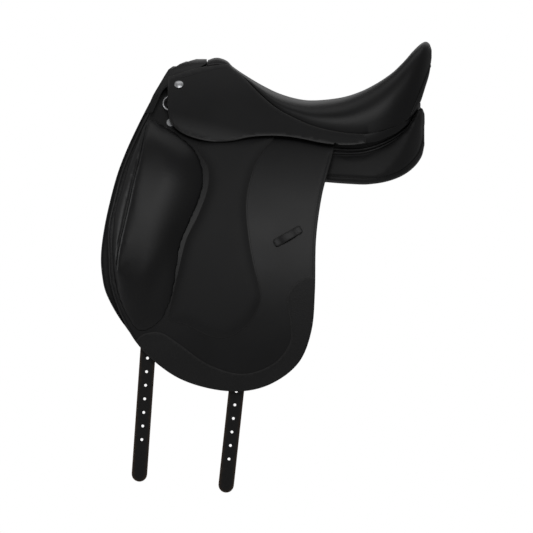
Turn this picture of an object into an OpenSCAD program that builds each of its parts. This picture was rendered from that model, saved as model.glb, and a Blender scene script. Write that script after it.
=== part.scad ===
/* [Overall] */
// Seat size, from the saddle nail to the middle of the cantle
seat_length = 445; // [370:1:540]
// Drop of the flap, from the skirt's bend line at the rear to the bottom edge
flap_drop = 447; // [370:1:540]
// Radius of the curve that each side of the saddle follows
side_radius = 800; // [700:5:1000]
// Half of the free width between the flaps, at their widest
half_spread = 215; // [190:1:250]

/* [Leather and webbing] */
// Thickness of the flap leather
flap_t = 3.5; // [2.5:0.1:4.5]
// Thickness of the skirt leather
skirt_t = 3.5; // [2.5:0.1:4.5]
// Thickness of the sweat flap
sweat_t = 3; // [2:0.1:4]
// Thickness of the seat leather
cover_t = 3; // [2:0.1:4]
// Thickness of the edge trim
trim_t = 1.8; // [1:0.1:2.5]
// Thickness of the thigh insert pad
insert_t = 3.5; // [2:0.1:5]
// Thickness of the keeper strap
keeper_t = 3; // [2:0.1:4]
// Thickness of the straining webs
web_t = 2; // [1:0.1:3]
// Thickness of the pommel facing
facing_t = 19; // [14:0.5:22]

/* [Billets] */
// Width of a billet
billet_w = 28; // [22:0.5:34]
// Thickness of a billet
billet_t = 4; // [3:0.1:5]
// Diameter of a billet hole
billet_hole_d = 5; // [3:0.1:6]
// Distance between billet holes
hole_pitch = 24.5; // [20:0.5:30]
// Holes in each billet
hole_count = 8; // [4:1:9]
// From the lowest hole of a front billet to its tip
front_tip = 76; // [45:1:90]
// From the lowest hole of a rear billet to its tip
rear_tip = 61; // [45:1:90]

/* [Stirrup bars] */
// Diameter of the stirrup bar
bar_d = 10; // [8:0.5:12]
// Length of the stirrup bar
bar_length = 68; // [55:1:74]
// Gap between the bar and its plate, for the stirrup leather
bar_gap = 9.5; // [7.5:0.5:12]
// Thickness of the bar's plate
bar_plate_t = 4.5; // [3:0.5:6]
// Length of the safety catch
catch_length = 15; // [10:1:18]

/* [Hardware] */
// Diameter of the saddle nail's head
nail_d = 16; // [12:1:20]
// Diameter of the dee ring's wire
dee_wire = 3; // [2:0.1:3.5]
// Height of the dee ring
dee_height = 30; // [24:1:36]
// Depth of the dee ring, from its straight side to the middle of its curve
dee_depth = 10; // [9:0.5:13]
// Diameter of the tree's rivets
rivet_d = 5; // [3:0.5:6]

/* [Tree and panels] */
// Thickness of the tree head
head_t = 10; // [8:0.5:12]
// Thickness of the tree rails
rail_t = 10; // [8:0.5:12]
// Thickness of the steel plates on the tree
steel_t = 2.5; // [1.5:0.1:3]
// Half of the width of the channel between the panels
channel_half = 35; // [25:1:42]
// Thickness of the front panels
panel_t = 36; // [25:1:45]

/* [Knee block] */
// Height of the knee block at its fullest
block_height = 35; // [22:1:45]

/* [Hidden] */

$fn = 96;
black = [0.08, 0.08, 0.085];
matt_black = [0.13, 0.13, 0.135];
steel = [0.75, 0.76, 0.78];
beech = [0.72, 0.55, 0.36];
felt = [0.86, 0.83, 0.76];

// Clearances
touch = 0.2;        // between pieces of one body
air = 2;            // between the sweat flap and a billet
slide = 3;          // between a billet and the flap
under_skirt = 3;    // between the stirrup bar and the skirt
bend_gap = 7;       // above the bend line, so that the skirt turns clear of its fixed part
bend_slack = 1;     // below the bend line, to the top of the skirt

// The curve of each side: a cylinder along X, with its level of greatest width
side_fn = 360;
side_z = -330;
side_y = side_radius - half_spread;
reach = 420;

// Layers of the side, as distances out from the side curve
billet_in = sweat_t + air;
billet_out = billet_in + billet_t;
flap_in = billet_out + slide;
flap_out = flap_in + flap_t;
plate_out = billet_in - 2.5;
bar_mid = plate_out + bar_gap + bar_d / 2;
skirt_in = bar_mid + bar_d / 2 + under_skirt;
skirt_mid = skirt_in + skirt_t / 2;
skirt_out = skirt_in + skirt_t;
head_out = plate_out - bar_plate_t - touch - steel_t - touch;
head_in = head_out - head_t;
facing_out = skirt_in - 0.5;

// The seat grows behind the pommel, and the flap grows below the bend line
seat_front = -100;
seat_k = (seat_length - 117) / 328;
flap_top = 67;
flap_k = flap_drop / 447;
function sx(x) = x < seat_front ? x : seat_front + (x - seat_front) * seat_k;
function fz(z) = z > flap_top ? z : flap_top + (z - flap_top) * flap_k;
function seat_points(list) = [for (p = list) [sx(p[0]), p[1]]];
function flap_points(list) = [for (p = list) [p[0], fz(p[1])]];

// Distance of the side surface from the middle of the saddle, at a height and layer
function side_at(z, layer) = sqrt(pow(side_radius + layer, 2) - pow(z - side_z, 2)) - side_y;
function unit(v) = v / norm(v);

// A smooth closed loop, and a smooth open line, through hand-set points
function blend_point(a, b, c, d, t) = 0.5 * (2 * b + (c - a) * t
    + (2 * a - 5 * b + 4 * c - d) * t * t + (3 * b - a - 3 * c + d) * t * t * t);
function loop(p, n = 5) = let(m = len(p))
    [for (i = [0 : m - 1]) for (k = [0 : n - 1])
        blend_point(p[(i + m - 1) % m], p[i], p[(i + 1) % m], p[(i + 2) % m], k / n)];
function line(p, n = 4) = let(m = len(p))
    concat([for (i = [0 : m - 2]) for (k = [0 : n - 1])
        blend_point(p[max(i - 1, 0)], p[i], p[i + 1], p[min(i + 2, m - 1)], k / n)], [p[m - 1]]);
function shifted(p, dz) = [for (q = p) [q[0], q[1] + dz]];
function reversed(p) = [for (i = [len(p) - 1 : -1 : 0]) p[i]];

// The skirt's bend line, where the skirt and the flap hinge
bend_front = [-243, 158];
bend_rear = [65, 67];
bend_a = [bend_front[0], -side_at(bend_front[1], skirt_mid), bend_front[1]];
bend_b = [bend_rear[0], -side_at(bend_rear[1], skirt_mid), bend_rear[1]];
bend_u = unit(bend_b - bend_a);
bend_mid_z = (bend_front[1] + bend_rear[1]) / 2;
bend_out = [0, -side_at(bend_mid_z, skirt_mid) - side_y, bend_mid_z - side_z];
bend_n = unit(bend_out - (bend_out * bend_u) * bend_u);
bend_v = cross(bend_n, bend_u);
bend_slope = atan2(bend_rear[1] - bend_front[1], bend_rear[0] - bend_front[0]);

// Stirrup bar, measured along and below the bend line
bar_start = 50;
bar_drop = 19;
plate_w = 30;
notch_start = 38;
notch_length = bar_start - notch_start + bar_length + catch_length + 12;
notch_depth = 46;
catch_t = 5;
pin_d = 3;

// Skirt, seat and seam lines
skirt_front = -238;
seam = seat_points([[-238, 185], [-222, 191], [-183, 202], [-144, 208], [-130, 208], [-122, 201],
    [-99, 182], [-73, 156], [-44, 131], [-14, 114], [20, 99], [54, 90], [88, 84.5], [118, 83]]);
band_tail = seat_points([[118, 66], [95, 63]]);
skirt_edge = [[-238, 126], [-233, 105], [-218, 88], [-192, 76], [-158, 69], [-124, 70],
    [-90, 77], [-56, 79.5], [-22, 78], [8, 73], [37, 67], [60, 64]];

// Flap outlines
flap_loop = flap_points([[-243, 190], [-268, 132], [-304, 58], [-322, 12], [-334, -34], [-345, -85],
    [-345, -140], [-341, -188], [-322, -244], [-288, -301], [-229, -351], [-165, -375],
    [-100, -380], [-46, -364], [-1, -327], [21, -270], [27, -200], [29, -107], [39, -31],
    [56, 28], [70, 90], [0, 190], [-120, 230]]);
sweat_loop = flap_points([[-258, 166], [-270, 144], [-290, 101], [-311, 56], [-328, 12], [-341, -35],
    [-352, -86], [-358, -134], [-356, -172], [-347, -208], [-319, -257], [-280, -300],
    [-200, -330], [-120, -335], [-40, -300], [-5, -220], [0, -100], [10, -20], [20, 20],
    [-10, 40], [-100, 60], [-200, 82], [-232, 120]]);
block_loop = flap_points([[-273, 111], [-243, 97], [-209, 74], [-184, 47], [-173, 8], [-178, -28],
    [-196, -72], [-213, -113], [-221, -158], [-227, -198], [-236, -228], [-252, -256],
    [-286, -274], [-309, -250], [-326, -214], [-336, -165], [-338, -110], [-334, -60],
    [-323, -20], [-308, 30], [-291, 72]]);
block_spine = flap_points([[-262, 60], [-285, -215]]);
pad_loop = flap_points([[-47, 79], [-69, 50], [-86, 16], [-97, -40], [-93, -100], [-84, -152],
    [-75, -187], [-71, -213], [-79, -237], [-96, -262], [-130, -283], [-164, -281], [-207, -260],
    [-235, -252], [-230, -215], [-219, -165], [-205, -108], [-182, -60], [-166, -14],
    [-166, 24], [-184, 62], [-150, 78], [-100, 84]]);
trim_cut = flap_points([[24, -176], [10, -177], [-5, -184], [-18, -199], [-23, -220], [-17, -265],
    [-20, -297], [-50, -332], [-104, -349], [-165, -332], [-218, -295], [-250, -275],
    [-278, -276], [-308, -300]]);

// Billets: the pivot at the top, and the lean forward
front_pivot = [-248, 58];
front_lean = 4;
rear_pivot = [-67, 58];
rear_lean = 6.2;
billet_clear = 3.5;
front_first_hole = flap_drop - 92;
rear_first_hole = flap_drop - 55;

// Tree, in side view: the top line of the rails and the cantle
rail_line = seat_points([[-150, 170], [-110, 142], [-70, 114], [-30, 93], [10, 80], [50, 74],
    [90, 73], [130, 77], [160, 89], [185, 111], [203, 146], [212, 182], [216, 208]]);
rail_top_end = rail_line[len(rail_line) - 1];
head_outline = [[-198, 190], [-210, 150], [-240, 62], [-234, 50], [-208, 50], [-196, 92],
    [-122, 92], [-122, 150], [-150, 178], [-152, 190]];

// Seat: station, height of the rim, dip of the middle, seam height, underside at the back
seat_stations = [[-166, 216, 0, 205, 204], [-153, 220, 0, 207.5, 206], [-142, 219, 0, 208, 206],
    [-130, 213.5, 0, 206, 204], [-120, 203.5, 0, 197.5, 196], [-94, 186, 0, 177.5, 176],
    [-65, 169, 0, 149, 148], [-35, 155, 0, 125, 124], [-1, 147.5, 2, 108, 107],
    [29, 147.5, 4, 96.5, 95], [71, 156, 8, 87, 86], [105, 171, 14, 84, 83], [135, 190, 20, 86, 85],
    [165, 214, 26, 94.5, 93], [186, 235, 26, 104, 102], [203, 249, 18, 128, 116],
    [216, 254, 10, 158, 138], [226, 252, 3, 184, 168], [233, 245, 0, 205, 192],
    [237, 234, 0, 226, 220]];
cantle_x = sx(100);
cantle_reach = 139 * seat_k;
cantle_power = 2.3;
facing_line = seat_points([[197, 112], [205, 131], [214, 153], [227, 186], [239, 218]]);

// Rear panel, and the band that runs round under the cantle
rear_panel_loop = seat_points([[-30, 6], [50, 0], [92, -3], [135, -5], [169, 1], [198, 16],
    [220, 42], [229, 76], [228, 105], [221, 122], [212, 114], [196, 91], [170, 71], [139, 58],
    [105, 52.5], [62, 54], [10, 58], [-30, 74]]);
front_panel_loop = [[-190, 138], [-214, 150], [-240, 120], [-262, 60], [-276, 0], [-272, -60],
    [-240, -100], [-180, -112], [-110, -96], [-50, -50], [0, 4], [10, 40], [-20, 68],
    [-70, 90], [-112, 108], [-150, 128]];
band_outline = seat_points([[119, 66], [139, 69], [173, 84], [198, 103], [212, 120], [218, 129],
    [218, 132], [211, 126], [195, 105], [173, 93.5], [148, 85], [119, 81]]);

// Half-width of the cantle's plan at a station, for a given width and reach
function cantle_plan(x, half, extent, power) = x <= cantle_x ? half
    : half * pow(max(0, 1 - pow(min(1, (x - cantle_x) / extent), power)), 1 / power);

module side_shell(inner, outer) {
    translate([-reach, side_y, side_z])
        rotate([0, 90, 0])
            difference() {
                cylinder(r = side_radius + outer, h = 2 * reach, $fn = side_fn);
                translate([0, 0, -1])
                    cylinder(r = side_radius + inner, h = 2 * reach + 2, $fn = side_fn);
            }
}

// Outlines drawn in X and Z, carried out to the left side of the saddle
module outline_solid(width = 300) {
    rotate([90, 0, 0])
        linear_extrude(width)
            children();
}

module side_piece(inner, outer) {
    intersection() {
        side_shell(inner, outer);
        outline_solid()
            children();
    }
}

module both_sides(half) {
    translate([0, half, 0])
        outline_solid(2 * half)
            children();
}

module pair() {
    children();
    mirror([0, 1, 0])
        children();
}

module right_side() {
    mirror([0, 1, 0])
        children();
}

// Everything below the bend line, less a gap
module below_bend(gap) {
    translate(bend_front)
        rotate(bend_slope)
            translate([-400, -1200 - gap])
                square([1200, 1200]);
}

// A place measured along the bend line, below it and out from it
module at_bend(along, below, out) {
    multmatrix([[bend_u[0], bend_v[0], bend_n[0], bend_a[0]],
                [bend_u[1], bend_v[1], bend_n[1], bend_a[1]],
                [bend_u[2], bend_v[2], bend_n[2], bend_a[2]],
                [0, 0, 0, 1]])
        translate([along, -below, out])
            children();
}

// A place on the side surface, with +Z out from it and +Y up it
module on_side(x, z, layer) {
    tilt = asin((z - side_z) / (side_radius + layer));
    translate([x, -side_at(z, layer), z])
        rotate([90 - tilt, 0, 0])
            children();
}

// A cushion on the side surface: rings that draw in to a spine as they rise from its flat back
module cushion(outline, spine, base, rise) {
    steps = [[0.75, 0], [0, 0], [0.01, 0.5], [0.08, 0.75], [0.22, 0.9], [0.45, 0.97], [0.75, 1]];
    count = len(outline);
    rings = len(steps);
    middle = (spine[0] + spine[1]) / 2;
    ring_points = [for (s = steps) for (p = outline) let(
        along = max(0, min(1, (p - spine[0]) * (spine[1] - spine[0])
            / pow(norm(spine[1] - spine[0]), 2))),
        q = p + (spine[0] + along * (spine[1] - spine[0]) - p) * s[0],
        height = base + s[1] * lookup(q[1], rise))
        [q[0], -side_at(q[1], height), q[1]]];
    caps = [for (height = [base, base + lookup(middle[1], rise)])
        [middle[0], -side_at(middle[1], height), middle[1]]];
    last = (rings - 1) * count;
    faces = concat(
        [for (i = [0 : count - 1]) [rings * count, i, (i + 1) % count]],
        [for (i = [0 : count - 1]) [rings * count + 1, last + (i + 1) % count, last + i]],
        [for (r = [0 : rings - 2]) for (i = [0 : count - 1]) for (half = [0, 1])
            let(j = (i + 1) % count, a = r * count, b = (r + 1) * count)
            half == 0 ? [a + i, b + i, b + j] : [a + i, b + j, a + j]]);
    polyhedron(concat(ring_points, caps), faces, convexity = 6);
}

// A cross-section of the seat, drawn in by a wall
function seat_ring(s, wall, under) = let(
    x = s[0],
    width = (x < 100 ? side_at(s[3], skirt_in - 1) : 999),
    plan = cantle_plan(sx(x), side_at(84, skirt_in - 1), cantle_reach, cantle_power),
    half = max(2, min(width, plan) - wall),
    rim = s[1] - wall)
    [for (i = [0 : 27]) let(
        a = i * 360 / 28,
        up = rim - s[3],
        down = s[3] - under,
        middle = pow(max(0, 1 - pow(cos(a) / 0.82, 2)), 2),
        z = a <= 180 ? s[3] + up * pow(max(0, sin(a)), 0.7) - s[2] * middle
            : s[3] - down * pow(-sin(a), 0.5))
        [sx(x), half * cos(a), z]];

// The seat as one closed body; open_under carries its underside down through the seam, and the
// cantle's stations move forward by the leather's thickness, which is measured square to its back
module seat_body(wall, open_under) {
    last = len(seat_stations) - 1;
    rings = [for (i = [0 : last]) let(s = seat_stations[i])
        seat_ring([i == 0 && open_under ? s[0] - 6
            : s[0] - (i == last ? wall : i > last - 5 ? min(wall, cover_t) : 0),
            s[1], s[2], s[3], s[4]], wall,
            s[0] > 200 ? s[4] + wall : s[4] - (open_under ? 12 : 0))];
    count = 28;
    points = [for (r = rings) for (p = r) p];
    walls = [for (r = [0 : last - 1]) for (i = [0 : count - 1]) for (half = [0, 1])
        let(j = (i + 1) % count, a = r * count, b = (r + 1) * count)
        half == 0 ? [a + i, b + i, b + j] : [a + i, b + j, a + j]];
    front = [for (i = [count - 1 : -1 : 0]) i];
    back = [for (i = [0 : count - 1]) last * count + i];
    polyhedron(points, concat([reversed(front), reversed(back)], walls), convexity = 8);
}

// The region behind the side seam of the cantle, where the cantle facing is
module behind_cantle_seam(gap) {
    both_sides(220)
        polygon(concat([for (p = facing_line) [p[0] + gap, p[1]]],
            [[sx(290), 250], [sx(290), 60], [sx(197) + gap, 60]]));
}

// A curved strip in the middle plane, carried across the saddle, between two heights on the tree
module tree_strip(low, high) {
    both_sides(200)
        polygon(concat(shifted(line(rail_line), low), reversed(shifted(line(rail_line), high))));
}

// The arch over the horse's withers, as a cross-section between two layers
crown_z = 150;
function crown_r(layer) = side_radius + layer - norm([side_y, crown_z - side_z]);
function arch_half(layer, low) = let(
    r = crown_r(layer),
    meet = atan2(crown_z - side_z, side_y),
    join_z = crown_z + r * sin(meet))
    concat([for (i = [0 : 8]) let(z = low + (join_z - low) * i / 8) [-side_at(z, layer), z]],
        [for (i = [1 : 9]) let(a = 180 - meet - (90 - meet) * i / 9)
            [r * cos(a), crown_z + r * sin(a)]]);
function arch_line(layer, low) = let(h = arch_half(layer, low))
    concat(h, [for (i = [len(h) - 2 : -1 : 0]) [-h[i][0], h[i][1]]]);

module arch(inner, outer, low) {
    translate([-reach, 0, 0])
        rotate([90, 0, 90])
            linear_extrude(2 * reach)
                polygon(concat(arch_line(outer, low), reversed(arch_line(inner, low))));
}

module tree_head() color(beech)
    intersection() {
        arch(head_in, head_out, 40);
        both_sides(200)
            polygon(head_outline);
    }

// Plan of the tree: rails that widen to the cantle, round a central opening
module tree_plan(edge) {
    half_line = line(seat_points([[-121, 46], [-90, 52], [-40, 62], [20, 78], [80, 96], [130, 104],
        [170, 98], [196, 76], [210, 44], [214, 0]]));
    inner_line = line(seat_points([[-96, 0], [-92, 18], [-60, 26], [0, 34], [60, 46], [100, 52],
        [130, 46], [148, 24], [152, 0]]));
    translate([0, 0, -50])
        linear_extrude(400)
            difference() {
                polygon(concat([for (p = half_line) [p[0], p[1] - edge]],
                    [for (p = reversed(half_line)) [p[0], edge - p[1]]]));
                polygon(concat([for (p = inner_line) [p[0], p[1]]],
                    [for (p = reversed(inner_line)) [p[0], -p[1]]]));
            }
}

module tree_rails() color(beech)
    intersection() {
        tree_strip(-rail_t, 0);
        tree_plan(0);
    }

// Steel under the arch
module head_plate() color(steel)
    intersection() {
        arch(head_in - touch - steel_t, head_in - touch, 70);
        both_sides(200)
            polygon([[-196, 186], [-206, 150], [-226, 92], [-206, 92], [-184, 140], [-170, 186]]);
    }

// Steel over the arch
module gullet_plate() color(steel)
    intersection() {
        arch(head_out + touch, head_out + touch + steel_t, 148);
        both_sides(200)
            polygon([[-194, 192], [-203, 148], [-182, 148], [-164, 192]]);
    }

// Spring-steel strips let in under the rails
module rail_springs() color(steel)
    pair()
        intersection() {
            tree_strip(-rail_t - touch - steel_t, -rail_t - touch);
            linear_extrude(300)
                polygon([[sx(-90), -32], [sx(-90), -44], [sx(110), -74], [sx(110), -62]]);
        }

module cantle_plate() color(steel)
    intersection() {
        tree_strip(-rail_t - touch - steel_t, -rail_t - touch);
        translate([0, 0, 40])
            linear_extrude(200)
                polygon([[sx(155), -50], [sx(190), -50], [sx(206), -26], [sx(206), 26],
                    [sx(190), 50], [sx(155), 50]]);
    }

module bar_rivet_places()
    for (along = [10, bar_length + 2])
        at_bend(bar_start + along, bar_drop - 10, plate_out - skirt_mid)
            children();

// Rivets of the stirrup bars' plates, through the tree head
module tree_rivets() color(steel)
    pair()
        bar_rivet_places() {
            cylinder(d = rivet_d * 1.8, h = 1.2);
            translate([0, 0, -bar_plate_t - steel_t - head_t])
                cylinder(d = rivet_d, h = bar_plate_t + steel_t + head_t + 0.5);
        }

module seat_webbing() color(felt)
    intersection() {
        tree_strip(0, web_t);
        linear_extrude(300)
            union() {
                translate([sx(-100), -20])
                    square([sx(160) - sx(-100), 40]);
                for (x = [-30, 30, 90])
                    translate([sx(x), -62])
                        square([30, 124]);
            }
    }

module seat_foam() color(felt)
    difference() {
        seat_body(cover_t + 3 * touch, false);
        both_sides(200)
            polygon(concat([[sx(-120) - 60, -100], [sx(-150) - 60, 192]],
                [[-150, 192]],
                shifted(line(rail_line), web_t + touch),
                [[rail_top_end[0] + 1, rail_top_end[1] + 3], [sx(300), rail_top_end[1] + 3],
                [sx(300), -100]]));
        arch_clearance();
    }

// Room for the tree head and its plates inside the seat
module arch_clearance()
    intersection() {
        arch(head_in - 20, head_out + steel_t + 2 * touch + 0.3, 100);
        both_sides(200)
            polygon([[-260, 60], [-260, 230], [-118, 230], [-118, 60]]);
    }

module seat_cover() color(black)
    difference() {
        seat_body(0, false);
        seat_body(cover_t, true);
        behind_cantle_seam(0);
    }

module cantle_facing() color(black)
    intersection() {
        difference() {
            seat_body(0, false);
            seat_body(cover_t, true);
        }
        behind_cantle_seam(touch);
    }

// The front of the pommel, over the tree head
module pommel_facing() color(black)
    intersection() {
        arch(facing_out - facing_t, facing_out, 120);
        both_sides(200)
            polygon(concat(line([[-168, 200], [-168, 214], [-180, 222], [-201, 217], [-222, 208],
                [-237, 197], [-252, 174], [-259, 166]]),
                [[bend_front[0] - 4, bend_front[1] + bend_gap - 1.5],
                [-168, bend_front[1] + bend_gap - 21.5]]));
    }

// The tail of the skirts, which runs round under the cantle
module rear_band() color(black)
    intersection() {
        both_sides(200)
            polygon(band_outline);
        translate([0, 0, 50])
            linear_extrude(120)
                intersection() {
                    difference() {
                        cantle_shape(side_at(75, skirt_out), 117 * seat_k);
                        cantle_shape(side_at(75, skirt_out) - skirt_t, 117 * seat_k - skirt_t);
                    }
                    translate([sx(119), -200])
                        square([200, 400]);
                }
    }

// Plan of the cantle: straight sides that round into the back
module cantle_shape(half, extent) {
    polygon(concat(
        [for (i = [0 : 36]) let(a = 90 - 5 * i, c = abs(cos(a)), s = sin(a))
            [cantle_x + extent * pow(c, 2 / 2.4), half * sign(s) * pow(abs(s), 2 / 2.4)]],
        [[cantle_x - 60, -half], [cantle_x - 60, half]]));
}

module skirt_band() color(black)
    side_piece(skirt_in, skirt_out)
        polygon(concat(line(seam), band_tail,
            [[bend_rear[0] + 4, bend_rear[1] - 3], [bend_rear[0] + 2, bend_rear[1] + bend_gap],
            [skirt_front, bend_front[1] + bend_gap - 1.4]]));

module skirt() color(black)
    side_piece(skirt_in, skirt_out)
        intersection() {
            polygon(concat([[skirt_front, 190]], line(skirt_edge), [[60, 110]]));
            below_bend(bend_slack);
        }

module flap() color(black)
    side_piece(flap_in, flap_out)
        difference() {
            intersection() {
                polygon(loop(flap_loop));
                below_bend(0.3);
            }
            bar_notch();
        }

// The flap is cut away round the stirrup bar
module bar_notch() {
    translate(bend_front)
        rotate(bend_slope)
            translate([notch_start, -notch_depth])
                square([notch_length, notch_depth + 20]);
}

// The block's back is cut to the curve of the flap, from a cushion that starts below it
block_sink = 8;
block_rise = [[fz(-285), block_sink + 8], [fz(-170), block_sink + block_height * 0.6],
    [fz(-60), block_sink + block_height * 0.82], [20, block_sink + block_height],
    [80, block_sink + block_height * 0.75], [112, block_sink + 10]];
module knee_block() color(black)
    difference() {
        cushion(loop(block_loop, 3), block_spine, flap_out - block_sink, block_rise);
        translate([-reach, side_y, side_z])
            rotate([0, 90, 0])
                cylinder(r = side_radius + flap_out + touch, h = 2 * reach, $fn = side_fn);
    }

module thigh_pad() color(matt_black)
    side_piece(flap_out, flap_out + insert_t)
        polygon(loop(pad_loop, 4));

module flap_trim() color(matt_black)
    side_piece(flap_out, flap_out + trim_t)
        difference() {
            polygon(loop(flap_loop));
            polygon(concat(line(trim_cut), [[-420, fz(-300)], [-420, 300], [120, 300],
                [120, fz(-176)]]));
        }

keeper_length = 56;
keeper_w = 15;
keeper_place = [-22, fz(-101)];
module keeper() color(black)
    side_piece(flap_out, flap_out + keeper_t)
        translate(keeper_place)
            rotate(30) {
                square([keeper_length - keeper_w / 2, keeper_w], center = true);
                for (end = [-1, 1])
                    translate([end * (keeper_length - keeper_w) / 2, 0])
                        square([keeper_w, keeper_w - 3], center = true);
            }

module flap_stud() color(steel)
    on_side(-232, 102, flap_out)
        cylinder(d = nail_d, h = 3);

module sweat_flap() color(black)
    side_piece(0, sweat_t)
        polygon(loop(sweat_loop, 4));

// Front and rear cushions of one panel, on the horse's side of everything
module panel() color(black)
    union() {
        intersection() {
            side_shell(head_in - steel_t - 1 - panel_t, head_in - steel_t - 1);
            outline_solid()
                polygon(loop(front_panel_loop, 3));
            beside_channel();
        }
        intersection() {
            side_shell(-160, -1);
            outline_solid()
                polygon(loop(rear_panel_loop, 3));
            beside_channel();
            translate([0, 0, -60])
                linear_extrude(300)
                    cantle_shape(side_at(0, -1), 129 * seat_k);
        }
        intersection() {
            side_shell(-110, head_in - steel_t - 1);
            outline_solid()
                polygon([[-60, -20], [sx(60), 4], [sx(60), 50], [-60, 74]]);
            beside_channel();
        }
    }

module beside_channel() {
    translate([-reach, -400, -200])
        cube([2 * reach, 400 - channel_half, 500]);
}

// A leather pocket for the tree's point
module point_pocket() color(black)
    side_piece(head_in - 0.3, head_out + 0.3)
        difference() {
            polygon([[-246, 84], [-244, 42], [-204, 42], [-196, 84]]);
            polygon([[-241.4, 90], [-241.4, 61], [-235, 49], [-207, 49], [-193, 90]]);
        }

// A billet: on the side curve to its widest level, then straight down
module billet(pivot, lean, first_hole, tip) {
    length = first_hole + (hole_count - 1) * hole_pitch + tip;
    difference() {
        union() {
            intersection() {
                side_shell(billet_in, billet_out);
                outline_solid()
                    billet_outline(pivot, lean, length);
                translate([-reach, -400, side_z])
                    cube([2 * reach, 400, 600]);
            }
            intersection() {
                translate([-reach, -half_spread - billet_out, side_z - 500])
                    cube([2 * reach, billet_t, 500]);
                outline_solid()
                    billet_outline(pivot, lean, length);
            }
        }
        for (i = [0 : hole_count - 1])
            translate([pivot[0], -half_spread - billet_in + 5, pivot[1]])
                rotate([0, lean, 0])
                    translate([0, 0, -first_hole - i * hole_pitch])
                        rotate([90, 0, 0])
                            cylinder(d = billet_hole_d, h = billet_t + 10, $fn = 32);
    }
}

module billet_outline(pivot, lean, length) {
    translate(pivot)
        rotate(-lean)
            union() {
                translate([-billet_w / 2, -length + billet_w / 2])
                    square([billet_w, length - billet_w / 2]);
                translate([0, -length + billet_w / 2])
                    circle(d = billet_w);
            }
}

module front_billet() color(black)
    billet(front_pivot, front_lean, front_first_hole, front_tip);

module rear_billet() color(black)
    billet(rear_pivot, rear_lean, rear_first_hole, rear_tip);

module billet_web(pivot, top) {
    side_piece(billet_in, billet_in + web_t)
        polygon([[pivot[0] - billet_w / 2, pivot[1] + billet_clear],
            [pivot[0] + billet_w / 2, pivot[1] + billet_clear],
            [top[0] + billet_w / 2, top[1]], [top[0] - billet_w / 2, top[1]]]);
}

module front_billet_webs() color(felt)
    pair()
        billet_web(front_pivot, [-226, 128]);

module rear_billet_webs() color(felt)
    pair()
        billet_web(rear_pivot, [-60, 104]);

// A stirrup bar on its plate, open to the rear
module stirrup_bar() color(steel)
    difference() {
        union() {
            at_bend(bar_start - 6, bar_drop + plate_w / 2, plate_out - bar_plate_t - skirt_mid)
                cube([bar_length + 12, plate_w, bar_plate_t]);
            at_bend(bar_start, bar_drop, plate_out - bar_plate_t / 2 - skirt_mid)
                cylinder(d = bar_d, h = bar_mid - plate_out + bar_plate_t / 2);
            at_bend(bar_start, bar_drop, bar_mid - skirt_mid)
                sphere(d = bar_d);
            at_bend(bar_start, bar_drop, bar_mid - skirt_mid)
                rotate([0, 90, 0])
                    cylinder(d = bar_d, h = bar_length);
        }
        // Fork for the safety catch, with the hole for its pin
        at_bend(bar_start + bar_length - 12, bar_drop + bar_d, bar_mid - skirt_mid - catch_t / 2 - 0.3)
            cube([20, 2 * bar_d, catch_t + 0.6]);
        at_bend(bar_start + bar_length - 6, bar_drop, bar_mid - skirt_mid - bar_d)
            cylinder(d = pin_d, h = 2 * bar_d, $fn = 32);
        bar_rivet_holes();
    }

module bar_rivet_holes()
    bar_rivet_places()
        translate([0, 0, -bar_plate_t - 1])
            cylinder(d = rivet_d + 0.1, h = bar_plate_t + 1);

// The catch lies in line with the bar, and turns up to close its end
module bar_catch() color(steel)
    difference() {
        at_bend(bar_start + bar_length - 6, bar_drop, bar_mid - skirt_mid - catch_t / 2)
            union() {
                cylinder(d = bar_d - 2, h = catch_t);
                translate([0, -(bar_d - 4) / 2, 0])
                    cube([catch_length, bar_d - 4, catch_t]);
                translate([catch_length, 0, 0])
                    cylinder(d = bar_d - 4, h = catch_t);
            }
        at_bend(bar_start + bar_length - 6, bar_drop, bar_mid - skirt_mid - catch_t)
            cylinder(d = pin_d + 0.1, h = 2 * catch_t, $fn = 32);
    }

module catch_pins() color(steel)
    pair()
        at_bend(bar_start + bar_length - 6, bar_drop, bar_mid - skirt_mid - bar_d / 2 + 0.6)
            cylinder(d = pin_d, h = bar_d - 1.2, $fn = 32);

// The dee ring hangs in front of the skirt's edge, its straight side held by the tab
dee_x = skirt_front + 2;
dee_z = 138;
dee_layer = flap_out + 4.9;
dee_curve = (pow(dee_height / 2, 2) + pow(dee_depth, 2)) / (2 * dee_depth);
module dee_ring() color(steel)
    on_side(dee_x, dee_z, dee_layer) {
        translate([0, dee_height / 2, 0])
            rotate([90, 0, 0])
                cylinder(d = dee_wire, h = dee_height, $fn = 32);
        for (end = [-1, 1])
            translate([0, end * (dee_height / 2), 0])
                sphere(d = dee_wire, $fn = 32);
        intersection() {
            translate([dee_curve - dee_depth, 0, 0])
                rotate_extrude($fn = 96)
                    translate([dee_curve, 0])
                        circle(d = dee_wire, $fn = 32);
            translate([-dee_height, -dee_height, -dee_wire])
                cube([dee_height, 2 * dee_height, 2 * dee_wire]);
        }
    }

// The tab folds round the straight side of the dee ring
module dee_tab() color(black)
    on_side(dee_x, dee_z, dee_layer)
        difference() {
            translate([-dee_wire, -7, -4.2])
                cube([dee_wire + 19, 14, 6.5]);
            translate([0, 8, 0])
                rotate([90, 0, 0])
                    cylinder(d = dee_wire + 0.2, h = 16, $fn = 32);
        }

module saddle_nails() color(steel)
    pair()
        on_side(-218, 172, skirt_out + 0.1) {
            intersection() {
                translate([0, 0, 3 - nail_d])
                    sphere(r = nail_d);
                cylinder(d = nail_d, h = 4);
            }
            translate([0, 0, -10])
                cylinder(d = 3, h = 10.5, $fn = 32);
        }

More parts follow.
